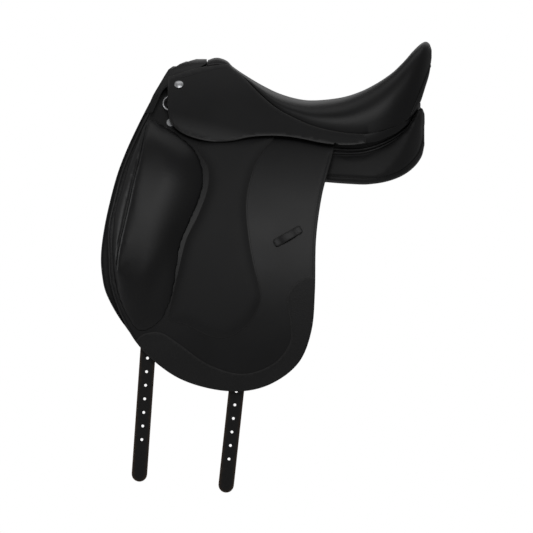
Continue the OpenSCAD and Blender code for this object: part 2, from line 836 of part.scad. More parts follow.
module skirt_band_left() skirt_band();
module skirt_band_right() right_side() skirt_band();
module skirt_left() skirt();
module skirt_right() right_side() skirt();
module flap_left() flap();
module flap_right() right_side() flap();
module knee_block_left() knee_block();
module knee_block_right() right_side() knee_block();
module thigh_pad_left() thigh_pad();
module thigh_pad_right() right_side() thigh_pad();
module flap_trim_left() flap_trim();
module flap_trim_right() right_side() flap_trim();
module keeper_left() keeper();
module keeper_right() right_side() keeper();
module flap_stud_left() flap_stud();
module flap_stud_right() right_side() flap_stud();
module sweat_flap_left() sweat_flap();
module sweat_flap_right() right_side() sweat_flap();
module panel_left() panel();
module panel_right() right_side() panel();
module point_pocket_left() point_pocket();
module point_pocket_right() right_side() point_pocket();
module front_billet_left() front_billet();
module front_billet_right() right_side() front_billet();
module rear_billet_left() rear_billet();
module rear_billet_right() right_side() rear_billet();
module stirrup_bar_left() stirrup_bar();
module stirrup_bar_right() right_side() stirrup_bar();
module bar_catch_left() bar_catch();
module bar_catch_right() right_side() bar_catch();
module dee_ring_left() dee_ring();
module dee_ring_right() right_side() dee_ring();
module dee_tab_left() dee_tab();
module dee_tab_right() right_side() dee_tab();

tree_head();
tree_rails();
head_plate();
gullet_plate();
rail_springs();
cantle_plate();
tree_rivets();
seat_webbing();
seat_foam();
seat_cover();
cantle_facing();
pommel_facing();
rear_band();
skirt_band_left();
skirt_band_right();
skirt_left();
skirt_right();
flap_left();
flap_right();
knee_block_left();
knee_block_right();
thigh_pad_left();
thigh_pad_right();
flap_trim_left();
flap_trim_right();
keeper_left();
keeper_right();
flap_stud_left();
flap_stud_right();
sweat_flap_left();
sweat_flap_right();
panel_left();
panel_right();
point_pocket_left();
point_pocket_right();
front_billet_left();
front_billet_right();
rear_billet_left();
rear_billet_right();
front_billet_webs();
rear_billet_webs();
stirrup_bar_left();
stirrup_bar_right();
bar_catch_left();
bar_catch_right();
catch_pins();
dee_ring_left();
dee_ring_right();
dee_tab_left();
dee_tab_right();
saddle_nails();
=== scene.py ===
# %% [markdown]
# # A black dressage saddle, piece by piece
# The imported model is the fixed frame: tree, bars, rings and all the moving bodies are already in it,
# in metres, with +Z up, the pommel at -X and the near side at -Y. This lesson dresses that frame in
# leather. Outlines are listed points, and each piece lies on the same curve and the same layers
# as the imported model.

# %% Load the frame
import math

import bmesh
import bpy
import numpy as np
from mathutils import Matrix, Vector
from mathutils.bvhtree import BVHTree
from mathutils.geometry import delaunay_2d_cdt


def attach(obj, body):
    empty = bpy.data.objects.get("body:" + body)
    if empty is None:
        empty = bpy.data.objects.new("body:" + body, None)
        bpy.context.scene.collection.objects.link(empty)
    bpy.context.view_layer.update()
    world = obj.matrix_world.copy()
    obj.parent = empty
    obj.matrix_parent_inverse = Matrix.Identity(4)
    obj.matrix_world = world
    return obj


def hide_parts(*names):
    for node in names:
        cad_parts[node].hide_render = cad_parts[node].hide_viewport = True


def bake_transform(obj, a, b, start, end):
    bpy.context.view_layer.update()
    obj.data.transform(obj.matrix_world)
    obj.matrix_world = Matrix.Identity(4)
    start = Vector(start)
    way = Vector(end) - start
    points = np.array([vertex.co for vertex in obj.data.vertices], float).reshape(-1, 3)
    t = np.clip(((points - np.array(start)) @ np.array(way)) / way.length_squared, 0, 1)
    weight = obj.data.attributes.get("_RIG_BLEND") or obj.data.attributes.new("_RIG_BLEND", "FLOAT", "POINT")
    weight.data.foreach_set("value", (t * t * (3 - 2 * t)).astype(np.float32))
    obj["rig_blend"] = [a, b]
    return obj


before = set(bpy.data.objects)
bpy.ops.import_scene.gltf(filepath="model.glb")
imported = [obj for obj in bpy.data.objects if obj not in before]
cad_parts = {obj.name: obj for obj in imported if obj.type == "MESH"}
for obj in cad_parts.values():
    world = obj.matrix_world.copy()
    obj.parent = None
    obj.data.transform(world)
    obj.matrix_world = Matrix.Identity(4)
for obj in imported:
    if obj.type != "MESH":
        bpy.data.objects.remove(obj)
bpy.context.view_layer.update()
scene = bpy.context.scene

# %% [markdown]
# ## The camera and the room
# A saddle is shown from its near side, square on. A parallel camera keeps the flap and the billets at
# one scale, so their lengths can be compared. The room is a pale floor under a white surround, and the
# light comes from broad panels, because black leather shows its form only by what it reflects.

# %% Camera, floor and light
MM = 0.001
VIEW_CENTRE = (-60.3 * MM, -155.7 * MM)
VIEW_WIDTH = 0.9594


def linked(obj):
    scene.collection.objects.link(obj)
    return obj


def aimed(obj, place, target):
    obj.location = place
    obj.rotation_euler = (Vector(target) - Vector(place)).to_track_quat("-Z", "Y").to_euler()
    return obj


camera_data = bpy.data.cameras.new("camera")
camera_data.type = "ORTHO"
camera_data.ortho_scale = VIEW_WIDTH
camera = linked(bpy.data.objects.new("camera", camera_data))
aimed(camera, (VIEW_CENTRE[0], -3.0, VIEW_CENTRE[1]), (VIEW_CENTRE[0], 0, VIEW_CENTRE[1]))
scene.camera = camera
scene.view_settings.view_transform = "Standard"

FLOOR_Z = -0.645
floor_mesh = bpy.data.meshes.new("floor")
floor_mesh.from_pydata([(-4, -4, FLOOR_Z), (4, -4, FLOOR_Z), (4, 4, FLOOR_Z), (-4, 4, FLOOR_Z)], [],
                       [(0, 1, 2, 3)])
floor = linked(bpy.data.objects.new("floor", floor_mesh))

# Each panel: place, what it points at, width, height, power in watts
PANELS = {
    "top": ((-0.05, 0.1, 1.7), (0, -0.1, 0), 1.7, 0.9, 2),
    "front_left": ((-2.1, -0.45, 0.5), (-0.1, -0.15, -0.1), 0.7, 1.6, 7),
    "front": ((0.15, -2.2, 1.25), (-0.05, -0.15, -0.05), 1.6, 1.0, 7.5),
    "back": ((0.3, 1.9, 1.1), (0, 0, 0), 1.6, 1.2, 2.5),
}
for name, (place, target, width, height, power) in PANELS.items():
    light = bpy.data.lights.new("light_" + name, "AREA")
    light.shape = "RECTANGLE"
    light.size, light.size_y, light.energy = width, height, power
    aimed(linked(bpy.data.objects.new("light_" + name, light)), place, target)

world = bpy.data.worlds.new("room")
world.use_nodes = True
scene.world = world
sky, room_nodes = world.node_tree, world.node_tree.nodes
room_nodes.clear()
lit = room_nodes.new("ShaderNodeBackground")
lit.inputs["Color"].default_value = (1, 1, 1, 1)
lit.inputs["Strength"].default_value = 0.13
seen = room_nodes.new("ShaderNodeBackground")
seen.inputs["Color"].default_value = (1, 1, 1, 1)
path = room_nodes.new("ShaderNodeLightPath")
either = room_nodes.new("ShaderNodeMixShader")
room_out = room_nodes.new("ShaderNodeOutputWorld")
sky.links.new(path.outputs["Is Camera Ray"], either.inputs[0])
sky.links.new(lit.outputs[0], either.inputs[1])
sky.links.new(seen.outputs[0], either.inputs[2])
sky.links.new(either.outputs[0], room_out.inputs[0])
print("room: floor at", FLOOR_Z, "m,", len(PANELS), "light panels")

# %% [markdown]
# ## The curve of the side
# Every leather on one side of a saddle lies on one curve, like pages of a bent book. Here the curve is
# a cylinder along X, and a piece is a flat outline in X and Z carried out to a layer of that cylinder.
# Over the withers the two sides meet in a round crown that is tangent to both.

# %% Side curve, crown and bend line
SIDE_RADIUS, SIDE_Y, SIDE_Z = 800.0, 585.0, -330.0
CROWN_Z = 150.0
BILLET, FLAP, FLAP_OUT, SKIRT, SKIRT_OUT = 5.0, 12.0, 15.5, 25.0, 28.5
BEND_FRONT, BEND_REAR = np.array([-243.0, 158.0]), np.array([65.0, 67.0])


def side_at(z, layer):
    """Distance from the middle of the saddle; straight down below the widest level."""
    rise = np.maximum(np.asarray(z, float) - SIDE_Z, 0)
    return np.sqrt((SIDE_RADIUS + layer) ** 2 - rise ** 2) - SIDE_Y


def on_side(points, layer):
    """Outline points (X, Z) carried out to the near side at a layer."""
    points = np.asarray(points, float)
    return np.stack([points[:, 0], -side_at(points[:, 1], layer), points[:, 1]], 1)


def outward(z):
    """The outward direction of the near side at a height."""
    sine = (np.asarray(z, float) - SIDE_Z) / SIDE_RADIUS
    sine = np.maximum(sine, 0)
    return np.stack([0 * sine, -np.sqrt(1 - sine ** 2), sine], -1)


def smooth(points, closed=False, step=4.0):
    """A smooth line through hand-set points, with an even step."""
    p = np.asarray(points, float)
    count = len(p)
    spans = range(count if closed else count - 1)
    pick = (lambda i: p[i % count]) if closed else (lambda i: p[min(max(i, 0), count - 1)])
    t = np.linspace(0, 1, 12, endpoint=False)[:, None]
    out = []
    for i in spans:
        a, b, c, d = pick(i - 1), pick(i), pick(i + 1), pick(i + 2)
        out.append(0.5 * (2 * b + (c - a) * t + (2 * a - 5 * b + 4 * c - d) * t ** 2
                          + (3 * b - a - 3 * c + d) * t ** 3))
    out = np.vstack(out + [pick(count if closed else count - 1)[None]])
    return even(out, step)[:-1] if closed else even(out, step)


def even(line, step):
    """The same line with its points an even step apart."""
    line = np.asarray(line, float)
    run = np.r_[0, np.cumsum(np.linalg.norm(np.diff(line, axis=0), axis=1))]
    places = np.linspace(0, run[-1], max(2, int(round(run[-1] / step)) + 1))
    return np.stack([np.interp(places, run, line[:, k]) for k in range(line.shape[1])], 1)


def gap_to(points, line):
    """Distance from each point to a line of points."""
    points, line = np.asarray(points, float), np.asarray(line, float)
    a, b = line[:-1], line[1:]
    ab = b - a
    length = np.maximum((ab ** 2).sum(1), 1e-9)
    best = np.full(len(points), 1e9)
    for start in range(0, len(points), 2000):
        part = points[start:start + 2000, None]
        t = np.clip(((part - a) * ab).sum(2) / length, 0, 1)
        near = np.linalg.norm(part - (a + t[..., None] * ab), axis=2)
        best[start:start + 2000] = near.min(1)
    return best


def inside(points, outline):
    """Whether each point is inside a closed outline."""
    x, z = points[:, 0][:, None], points[:, 1][:, None]
    a, b = outline, np.roll(outline, -1, 0)
    spans = (a[:, 1] > z) != (b[:, 1] > z)
    rise = np.where(b[:, 1] == a[:, 1], 1e-9, b[:, 1] - a[:, 1])
    cross = (b[:, 0] - a[:, 0]) * (z - a[:, 1]) / rise + a[:, 0]
    return (spans & (x < cross)).sum(1) % 2 == 1


def below_bend(points):
    """How far each outline point lies below the bend line, in the outline's own plane."""
    along = (BEND_REAR - BEND_FRONT) / np.linalg.norm(BEND_REAR - BEND_FRONT)
    down = np.array([along[1], -along[0]])
    return (np.asarray(points, float) - BEND_FRONT) @ down


def turning(outline):
    """The outline with its points in anticlockwise order."""
    a, b = outline, np.roll(outline, -1, 0)
    area = (a[:, 0] * b[:, 1] - b[:, 0] * a[:, 1]).sum()
    return outline if area > 0 else outline[::-1]


def inset(outline, distance):
    """A closed anticlockwise outline moved inwards by a distance, one for all or one for each point."""
    tangent = np.roll(outline, -1, 0) - np.roll(outline, 1, 0)
    tangent /= np.maximum(np.linalg.norm(tangent, axis=1), 1e-9)[:, None]
    return outline + np.stack([-tangent[:, 1], tangent[:, 0]], 1) * np.reshape(distance, (-1, 1))


def beside(line, distance):
    """An open line moved to its left by a distance."""
    tangent = np.gradient(line, axis=0)
    tangent /= np.maximum(np.linalg.norm(tangent, axis=1), 1e-9)[:, None]
    return line + np.stack([-tangent[:, 1], tangent[:, 0]], 1) * distance


print("side curve at z 0:", round(float(side_at(0, 0)), 1), "mm from the middle")

# %% [markdown]
# ## Cutting a piece of leather
# A cut leather is a plate with two faces and a rim that the edge tool has rounded. One way is to extrude
# a flat face and bevel it, but then the faces are long slivers that can't bend. Here the outline gets
# rings that step over the rim, and an even net of points fills the middle, with extra rows beside each
# seam, so that a seam can be pressed in and the plate can bend at its hinge.

# %% Leather sheets
SHARP = math.radians(42)


def mesh_piece(name, places, faces, tidy=0.02):
    """A linked mesh object from places in millimetres, smooth except at real corners."""
    mesh = bpy.data.meshes.new(name)
    mesh.from_pydata([tuple(p) for p in np.asarray(places) * MM], [], faces)
    form = bmesh.new()
    form.from_mesh(mesh)
    bmesh.ops.remove_doubles(form, verts=form.verts, dist=tidy * MM)
    bmesh.ops.dissolve_degenerate(form, edges=form.edges, dist=0.001 * MM)
    bmesh.ops.recalc_face_normals(form, faces=form.faces)
    form.to_mesh(mesh)
    form.free()
    mesh.shade_smooth()
    mesh.set_sharp_from_angle(angle=SHARP)
    return linked(bpy.data.objects.new(name, mesh))


def sheet_net(ring, holes, step, rows):
    """Triangles of a flat net inside a ring, round holes, with rows of points that it keeps."""
    low, high = ring.min(0), ring.max(0)
    xs = np.arange(low[0], high[0], step)
    zs = np.arange(low[1], high[1], step * 0.866)
    net = np.array([(x + (j % 2) * step / 2, z) for j, z in enumerate(zs) for x in xs])
    fences = [np.vstack([ring, ring[:1]])] + [np.vstack([h, h[:1]]) for h in holes]
    kept = [row[inside(row, ring) & (gap_to(row, fences[0]) > step * 0.3)] for row in rows]
    kept = [row for row in kept if len(row) > 1]
    net = net[inside(net, ring)]
    for fence in fences:
        net = net[gap_to(net, fence) > step * 0.55]
    for hole in holes:
        net = net[~inside(net, hole)]
    for row in kept:
        net = net[gap_to(net, row) > step * 0.4]
    blocks = [ring] + list(holes) + kept + [net]
    points = np.vstack(blocks)
    edges, start = [], 0
    for block in [ring] + list(holes):
        count = len(block)
        edges += [(start + i, start + (i + 1) % count) for i in range(count)]
        start += count
    found, _, faces, origins, _, _ = delaunay_2d_cdt([Vector(p) for p in points], edges, [], 0, 1e-6)
    found = np.array([tuple(v) for v in found])
    tris = np.array([f for f in faces if len(f) == 3])
    middle = found[tris].mean(1)
    keep = inside(middle, ring)
    for hole in holes:
        keep &= ~inside(middle, hole)
    match = {o: i for i, own in enumerate(origins) for o in own}
    return found, tris[keep], match


def sheet(name, outline, inner, outer, step=5.0, rim=None, relief=None, shift=None, holes=(),
          rows=(), free=None, lay=on_side):
    """A plate of leather between two layers. relief raises its face, shift moves both faces, rim is the
    radius of its edge, free says where the edge is rounded, and rows are seams that the net follows."""
    outline = turning(np.asarray(outline, float))
    thick = outer - inner
    rim = 0.42 * thick if rim is None else rim
    weight = np.ones(len(outline)) if free is None else free(outline)
    none = lambda p: np.zeros(len(p))
    relief, shift = relief or none, shift or none
    rings = [inset(outline, rim * weight * part) for part in (1, 0.3, 0)]
    holes = [turning(np.asarray(h, float)) for h in holes]
    flat, tris, match = sheet_net(rings[0], holes, step, list(rows))
    at = lambda p, level, raised: lay(p, level + shift(p) + (relief(p) if raised else 0))
    places = [at(flat, outer, True), at(flat, inner, False)]
    faces = [tuple(t) for t in tris] + [tuple(t[::-1] + len(flat)) for t in tris]
    count, base = len(outline), 2 * len(flat)
    drops = ((1, 0.3), (2, 1.0))
    for k, drop in drops:
        places.append(lay(rings[k], outer - drop * rim * weight + shift(rings[k]) + relief(rings[k])))
    for k, drop in drops[::-1]:
        places.append(lay(rings[k], inner + drop * rim * weight + shift(rings[k])))
    levels = [[match[i] for i in range(count)]]
    levels += [list(range(base + k * count, base + (k + 1) * count)) for k in range(4)]
    levels += [[match[i] + len(flat) for i in range(count)]]
    for upper, lower in zip(levels[:-1], levels[1:]):
        faces += [(upper[i], lower[i], lower[(i + 1) % count], upper[(i + 1) % count])
                  for i in range(count)]
    start = count
    for hole in holes:
        own = [match[start + i] for i in range(len(hole))]
        faces += [(own[i], own[(i + 1) % len(own)], own[(i + 1) % len(own)] + len(flat),
                   own[i] + len(flat)) for i in range(len(own))]
        start += len(hole)
    piece = mesh_piece(name, np.vstack(places), faces)
    cut = np.flatnonzero(weight < 0.5)
    mark_rim(piece, np.delete(outline, cut, 0) if len(cut) else np.vstack([outline, outline[:1]]))
    return piece


def mark_rim(piece, line, reach=3.0):
    """Stores how near each corner of the mesh is to the cut edge, for the edge's own finish."""
    places = np.array([v.co for v in piece.data.vertices]) / MM
    near = gap_to(places[:, [0, 2]], line)
    mark = piece.data.attributes.new("rim", "FLOAT", "POINT")
    mark.data.foreach_set("value", np.clip(1 - near / reach, 0, 1).astype(np.float32))


def mirrored(piece, name):
    """The off side's copy of a near side piece, with its faces turned to point outwards."""
    mesh = piece.data.copy()
    mesh.transform(Matrix.Scale(-1, 4, (0, 1, 0)))
    mesh.flip_normals()
    return linked(bpy.data.objects.new(name, mesh))


def groove(line, depth, width):
    """A pressed line: a relief that sinks along a seam."""
    return lambda p: -depth * np.exp(-(gap_to(p, line) / width) ** 2)


def seam_rows(line, width):
    """Rows of net points beside a seam."""
    return [beside(line, k * width) for k in (-2, -1, 0, 1, 2)]


def made(piece, note=""):
    print(f"{piece.name}: {len(piece.data.vertices)} corners {note}")
    return piece


# %% [markdown]
# ## Finishes
# Leather has a fine grain, a slow change of tone where hands and oil have been, and an edge that wears
# paler than its face. These three effects are shared, so each is a node group that gives out only a
# height, a tone or a mask. The shader itself stays in each material with its own gloss.

# %% Shared grain and wear
def group(name, inputs, outputs):
    tree = bpy.data.node_groups.new(name, "ShaderNodeTree")
    for label, kind, value in inputs:
        socket = tree.interface.new_socket(label, in_out="INPUT", socket_type=kind)
        if value is not None:
            socket.default_value = value
    for label, kind in outputs:
        tree.interface.new_socket(label, in_out="OUTPUT", socket_type=kind)
    return tree, tree.nodes.new("NodeGroupInput"), tree.nodes.new("NodeGroupOutput")


def math_node(tree, operation, a, b):
    node = tree.nodes.new("ShaderNodeMath")
    node.operation = operation
    for socket, value in zip(node.inputs, (a, b)):
        if isinstance(value, (int, float)):
            socket.default_value = value
        else:
            tree.links.new(value, socket)
    return node.outputs[0]


def noise(tree, vector, scale, detail=3.0):
    node = tree.nodes.new("ShaderNodeTexNoise")
    tree.links.new(vector, node.inputs["Vector"])
    node.inputs["Detail"].default_value = detail
    if isinstance(scale, (int, float)):
        node.inputs["Scale"].default_value = scale
    else:
        tree.links.new(scale, node.inputs["Scale"])
    return node.outputs[0]


FLOAT, VECTOR = "NodeSocketFloat", "NodeSocketVector"
grain, g_in, g_out = group("leather_grain", [("Vector", VECTOR, None), ("Scale", FLOAT, 700.0),
                                             ("Creases", FLOAT, 0.5)],
                           [("Height", FLOAT), ("Tone", FLOAT)])
cells = grain.nodes.new("ShaderNodeTexVoronoi")
cells.feature = "SMOOTH_F1"
grain.links.new(g_in.outputs["Vector"], cells.inputs["Vector"])
grain.links.new(g_in.outputs["Scale"], cells.inputs["Scale"])
fine = noise(grain, g_in.outputs["Vector"], math_node(grain, "MULTIPLY", g_in.outputs["Scale"], 0.35))
slow = noise(grain, g_in.outputs["Vector"], 14.0, 2.0)
crease = math_node(grain, "MULTIPLY", fine, g_in.outputs["Creases"])
grain.links.new(math_node(grain, "ADD", cells.outputs["Distance"], crease), g_out.inputs["Height"])
grain.links.new(slow, g_out.inputs["Tone"])

wear, w_in, w_out = group("edge_wear", [("Rim", FLOAT, 0.0), ("Vector", VECTOR, None),
                                        ("Amount", FLOAT, 0.5)], [("Mask", FLOAT)])
patchy = noise(wear, w_in.outputs["Vector"], 160.0)
worn = math_node(wear, "MULTIPLY", math_node(wear, "POWER", w_in.outputs["Rim"], 2.0), patchy)
wear.links.new(math_node(wear, "MULTIPLY", worn, w_in.outputs["Amount"]), w_out.inputs["Mask"])
print("shared finishes:", grain.name, wear.name)


# %% Leather, thread, metal, wood and cloth
def start_material(name):
    material = bpy.data.materials.new(name)
    material.use_nodes = True
    tree = material.node_tree
    shader = tree.nodes["Principled BSDF"]
    place = tree.nodes.new("ShaderNodeTexCoord").outputs["Object"]
    return material, tree, shader, place


def place_group(tree, shared, values):
    node = tree.nodes.new("ShaderNodeGroup")
    node.node_tree = shared
    for label, value in values.items():
        if isinstance(value, (int, float)):
            node.inputs[label].default_value = value
        else:
            tree.links.new(value, node.inputs[label])
    return node


def two_tones(tree, mask, dark, light):
    mix = tree.nodes.new("ShaderNodeMix")
    mix.data_type = "RGBA"
    mix.inputs["A"].default_value = (*dark, 1)
    mix.inputs["B"].default_value = (*light, 1)
    tree.links.new(mask, mix.inputs["Factor"])
    return mix.outputs["Result"]


def set_bump(tree, shader, height, strength, distance):
    bump = tree.nodes.new("ShaderNodeBump")
    bump.inputs["Strength"].default_value = strength
    bump.inputs["Distance"].default_value = distance * MM
    tree.links.new(height, bump.inputs["Height"])
    tree.links.new(bump.outputs[0], shader.inputs["Normal"])


def leather(name, dark, light, gloss, scale, depth, coat=0.0, sheen=0.0, worn=0.5,
            worn_tone=(0.09, 0.085, 0.08), creases=0.5):
    """A grained leather: two near tones, a roughness range, and a paler worn edge."""
    material, tree, shader, place = start_material(name)
    skin = place_group(tree, grain, {"Vector": place, "Scale": scale, "Creases": creases})
    edge = tree.nodes.new("ShaderNodeAttribute")
    edge.attribute_name = "rim"
    mask = place_group(tree, wear, {"Rim": edge.outputs["Fac"], "Vector": place, "Amount": worn})
    face = two_tones(tree, skin.outputs["Tone"], dark, light)
    mix = tree.nodes.new("ShaderNodeMix")
    mix.data_type = "RGBA"
    tree.links.new(mask.outputs["Mask"], mix.inputs["Factor"])
    tree.links.new(face, mix.inputs["A"])
    mix.inputs["B"].default_value = (*worn_tone, 1)
    tree.links.new(mix.outputs["Result"], shader.inputs["Base Color"])
    span = tree.nodes.new("ShaderNodeMapRange")
    span.inputs["To Min"].default_value, span.inputs["To Max"].default_value = gloss
    tree.links.new(skin.outputs["Tone"], span.inputs["Value"])
    tree.links.new(span.outputs[0], shader.inputs["Roughness"])
    set_bump(tree, shader, skin.outputs["Height"], 0.5, depth)
    shader.inputs["Coat Weight"].default_value = coat
    shader.inputs["Coat Roughness"].default_value = 0.35
    shader.inputs["Sheen Weight"].default_value = sheen
    shader.inputs["Specular IOR Level"].default_value = 0.45
    return material


def metal(name, tone, gloss, brushed):
    material, tree, shader, place = start_material(name)
    stretch = tree.nodes.new("ShaderNodeMapping")
    stretch.inputs["Scale"].default_value = (60, 60, 900) if brushed else (90, 90, 90)
    tree.links.new(place, stretch.inputs["Vector"])
    lines = noise(tree, stretch.outputs[0], 1.0 if brushed else 2.0)
    tree.links.new(two_tones(tree, lines, tone, tuple(min(1, 1.25 * c) for c in tone)),
                   shader.inputs["Base Color"])
    span = tree.nodes.new("ShaderNodeMapRange")
    span.inputs["To Min"].default_value, span.inputs["To Max"].default_value = gloss
    tree.links.new(lines, span.inputs["Value"])
    tree.links.new(span.outputs[0], shader.inputs["Roughness"])
    shader.inputs["Metallic"].default_value = 1
    set_bump(tree, shader, lines, 0.25 if brushed else 0.08, 0.2)
    return material


def woven(name, dark, light, pitch):
    material, tree, shader, place = start_material(name)
    weave = []
    for turn in ((0, 0, 0), (0, 0, math.pi / 2)):
        turned = tree.nodes.new("ShaderNodeMapping")
        turned.inputs["Rotation"].default_value = turn
        tree.links.new(place, turned.inputs["Vector"])
        wave = tree.nodes.new("ShaderNodeTexWave")
        wave.inputs["Scale"].default_value = 1 / (pitch * MM) / 6.3
        wave.inputs["Distortion"].default_value = 0.6
        tree.links.new(turned.outputs[0], wave.inputs["Vector"])
        weave.append(wave.outputs["Fac"])
    both = math_node(tree, "MULTIPLY", weave[0], weave[1])
    tree.links.new(two_tones(tree, both, dark, light), shader.inputs["Base Color"])
    shader.inputs["Roughness"].default_value = 0.85
    shader.inputs["Sheen Weight"].default_value = 0.3
    set_bump(tree, shader, both, 0.6, 0.5)
    return material


def beech_wood(name):
    material, tree, shader, place = start_material(name)
    stretch = tree.nodes.new("ShaderNodeMapping")
    stretch.inputs["Scale"].default_value = (9, 9, 260)
    tree.links.new(place, stretch.inputs["Vector"])
    plies = noise(tree, stretch.outputs[0], 1.0, 6.0)
    tree.links.new(two_tones(tree, plies, (0.36, 0.21, 0.10), (0.62, 0.44, 0.26)),
                   shader.inputs["Base Color"])
    shader.inputs["Roughness"].default_value = 0.48
    set_bump(tree, shader, plies, 0.3, 0.4)
    return material


def foam_rubber(name):
    material, tree, shader, place = start_material(name)
    pores = tree.nodes.new("ShaderNodeTexVoronoi")
    pores.inputs["Scale"].default_value = 650
    tree.links.new(place, pores.inputs["Vector"])
    tree.links.new(two_tones(tree, pores.outputs["Distance"], (0.42, 0.38, 0.28), (0.68, 0.63, 0.48)),
                   shader.inputs["Base Color"])
    shader.inputs["Roughness"].default_value = 0.95
    set_bump(tree, shader, pores.outputs["Distance"], 0.7, 0.8)
    return material


BLACK, NEAR_BLACK = (0.006, 0.006, 0.0065), (0.011, 0.011, 0.012)
calf = leather("smooth_calf", BLACK, NEAR_BLACK, (0.34, 0.46), 900, 0.10, coat=0.12)
soft_calf = leather("soft_calf", (0.009, 0.009, 0.0095), (0.016, 0.016, 0.017), (0.50, 0.62), 700, 0.16,
                    sheen=0.06)
pebble = leather("pebble_grain", (0.010, 0.010, 0.010), (0.020, 0.020, 0.021), (0.46, 0.58), 420, 0.55,
                 creases=0.9)
strap = leather("billet_leather", (0.008, 0.008, 0.008), (0.015, 0.014, 0.014), (0.42, 0.55), 520, 0.2,
                worn=0.9, worn_tone=(0.30, 0.17, 0.08))
thread = leather("waxed_thread", (0.022, 0.022, 0.023), (0.045, 0.045, 0.047), (0.45, 0.6), 2600, 0.1)
steel = metal("plain_steel", (0.36, 0.37, 0.38), (0.30, 0.46), True)
bright = metal("polished_steel", (0.76, 0.77, 0.79), (0.30, 0.42), False)
beech = beech_wood("laminated_beech")
webbing = woven("linen_webbing", (0.40, 0.34, 0.25), (0.66, 0.59, 0.47), 1.4)
foam = foam_rubber("seat_foam_rubber")
pale, pale_tree, pale_shader, pale_place = start_material("pale_floor")
pale_tree.links.new(two_tones(pale_tree, noise(pale_tree, pale_place, 3.0), (0.86, 0.86, 0.86),
                              (0.90, 0.90, 0.90)), pale_shader.inputs["Base Color"])
pale_shader.inputs["Roughness"].default_value = 0.7
floor.data.materials.append(pale)
print("finishes:", ", ".join(m.name for m in bpy.data.materials))

# %% [markdown]
# ## What stays as it is
# The hard parts were modelled to their real size, so they keep their own meshes and get a finish: beech
# for the tree, plain steel for its plates and the stirrup bars, polished steel for what shows.

# %% Finishes of the hard parts
HARD = {
    beech: ["tree_head", "tree_rails"],
    steel: ["head_plate", "gullet_plate", "rail_springs", "cantle_plate", "tree_rivets",
            "stirrup_bar_left", "stirrup_bar_right", "bar_catch_left", "bar_catch_right", "catch_pins"],
    bright: ["dee_ring_left", "dee_ring_right", "flap_stud_left", "flap_stud_right", "saddle_nails"],
    webbing: ["seat_webbing", "front_billet_webs", "rear_billet_webs"],
}
for finish, names in HARD.items():
    for node in names:
        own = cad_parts[node].data
        own.materials.clear()
        own.materials.append(finish)
print("kept nodes:", sum(len(v) for v in HARD.values()))


def dress(piece, finish, slot, body, *nodes):
    """Gives a piece its finish and body, and hides the imported nodes that it stands for. The slot is not
    used.
    """
    if not piece.data.materials:
        piece.data.materials.append(finish)
    if body:
        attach(piece, body)
    if nodes:
        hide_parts(*nodes)
    return made(piece)


def both_sides(piece, finish, slot, body="root", node=None):
    """Dresses a near side piece and its mirrored off side copy."""
    pair = [piece, mirrored(piece, piece.name.replace("left", "right"))]
    for side, own in zip(("left", "right"), pair):
        home = body if body == "root" else f"{side}_{body}"
        dress(own, finish, slot, home, *([f"{node}_{side}"] if node else []))
    return pair

# %% [markdown]
# ## Flap
# The flap is the big leather under the rider's leg. It hinges where it is sewn on, just under the
# skirt, so the plate runs on above that line and bends there: its top stays with the tree and the rest
# lifts. An opening leaves room for the stirrup bar.

# %% Flap
FLAP_LINE = [(-241, 184), (-252, 162), (-268, 132), (-304, 58), (-322, 12), (-334, -34), (-345, -85),
             (-345, -140), (-341, -188), (-322, -244), (-288, -301), (-229, -351), (-165, -375),
             (-100, -380), (-46, -364), (-1, -327), (21, -270), (27, -200), (29, -107), (39, -31),
             (54, 28), (62, 62), (58, 78), (0, 97), (-100, 126), (-200, 157)]
flap_outline = turning(smooth(FLAP_LINE, closed=True, step=4))
CREASE_INSET = 7.0


def along_bend(along, below):
    """An outline place measured along the bend line and below it."""
    run = (BEND_REAR - BEND_FRONT) / np.linalg.norm(BEND_REAR - BEND_FRONT)
    return BEND_FRONT + run * along + np.array([run[1], -run[0]]) * below


# The room for the bar and its catch: along the bend line, below it
BAR_OPENING = [(40, 12), (60, 8), (92, 8), (98, -3), (112, -6), (126, -4), (134, 6), (143, 14),
               (145, 28), (141, 43), (120, 46), (92, 46), (60, 46), (43, 43), (38, 28)]
bar_opening = smooth([along_bend(a, b) for a, b in BAR_OPENING], closed=True, step=4)
edge_line = inset(flap_outline, CREASE_INSET)
rear_edge = edge_line[(edge_line[:, 0] > 5) & (edge_line[:, 1] < 50) & (edge_line[:, 1] > -178)]
rear_edge = rear_edge[np.argsort(rear_edge[:, 1])]
flap_face = groove(rear_edge, 0.5, 1.6)
flap_left = sheet("flap_leather_left", flap_outline, FLAP, FLAP_OUT, holes=[bar_opening],
                  rows=seam_rows(rear_edge, 1.4), relief=flap_face)


def at_bend(along, below, out):
    """A place in space, measured along the skirt's bend line, below it and out from it."""
    mid = SKIRT + (SKIRT_OUT - SKIRT) / 2
    a = on_side([BEND_FRONT], mid)[0]
    b = on_side([BEND_REAR], mid)[0]
    run = (b - a) / np.linalg.norm(b - a)
    face = outward((a[2] + b[2]) / 2)
    face = face - face @ run * run
    face /= np.linalg.norm(face)
    up = np.cross(face, run)
    return a + run * along - up * below + face * out


def hinge(piece, side):
    """Bends a near or off side flap over the hinge line."""
    sign = 1 if side == "left" else -1
    turn = np.array([1, sign, 1])
    start, end = at_bend(160, -6, 0) * turn * MM, at_bend(160, 8, 0) * turn * MM
    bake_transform(piece, "root", side + "_flap", start=tuple(start), end=tuple(end))


flap_right = mirrored(flap_left, "flap_leather_right")
for side, own in (("left", flap_left), ("right", flap_right)):
    dress(own, calf, "smooth_leather", None, "flap_" + side)
    hinge(own, side)

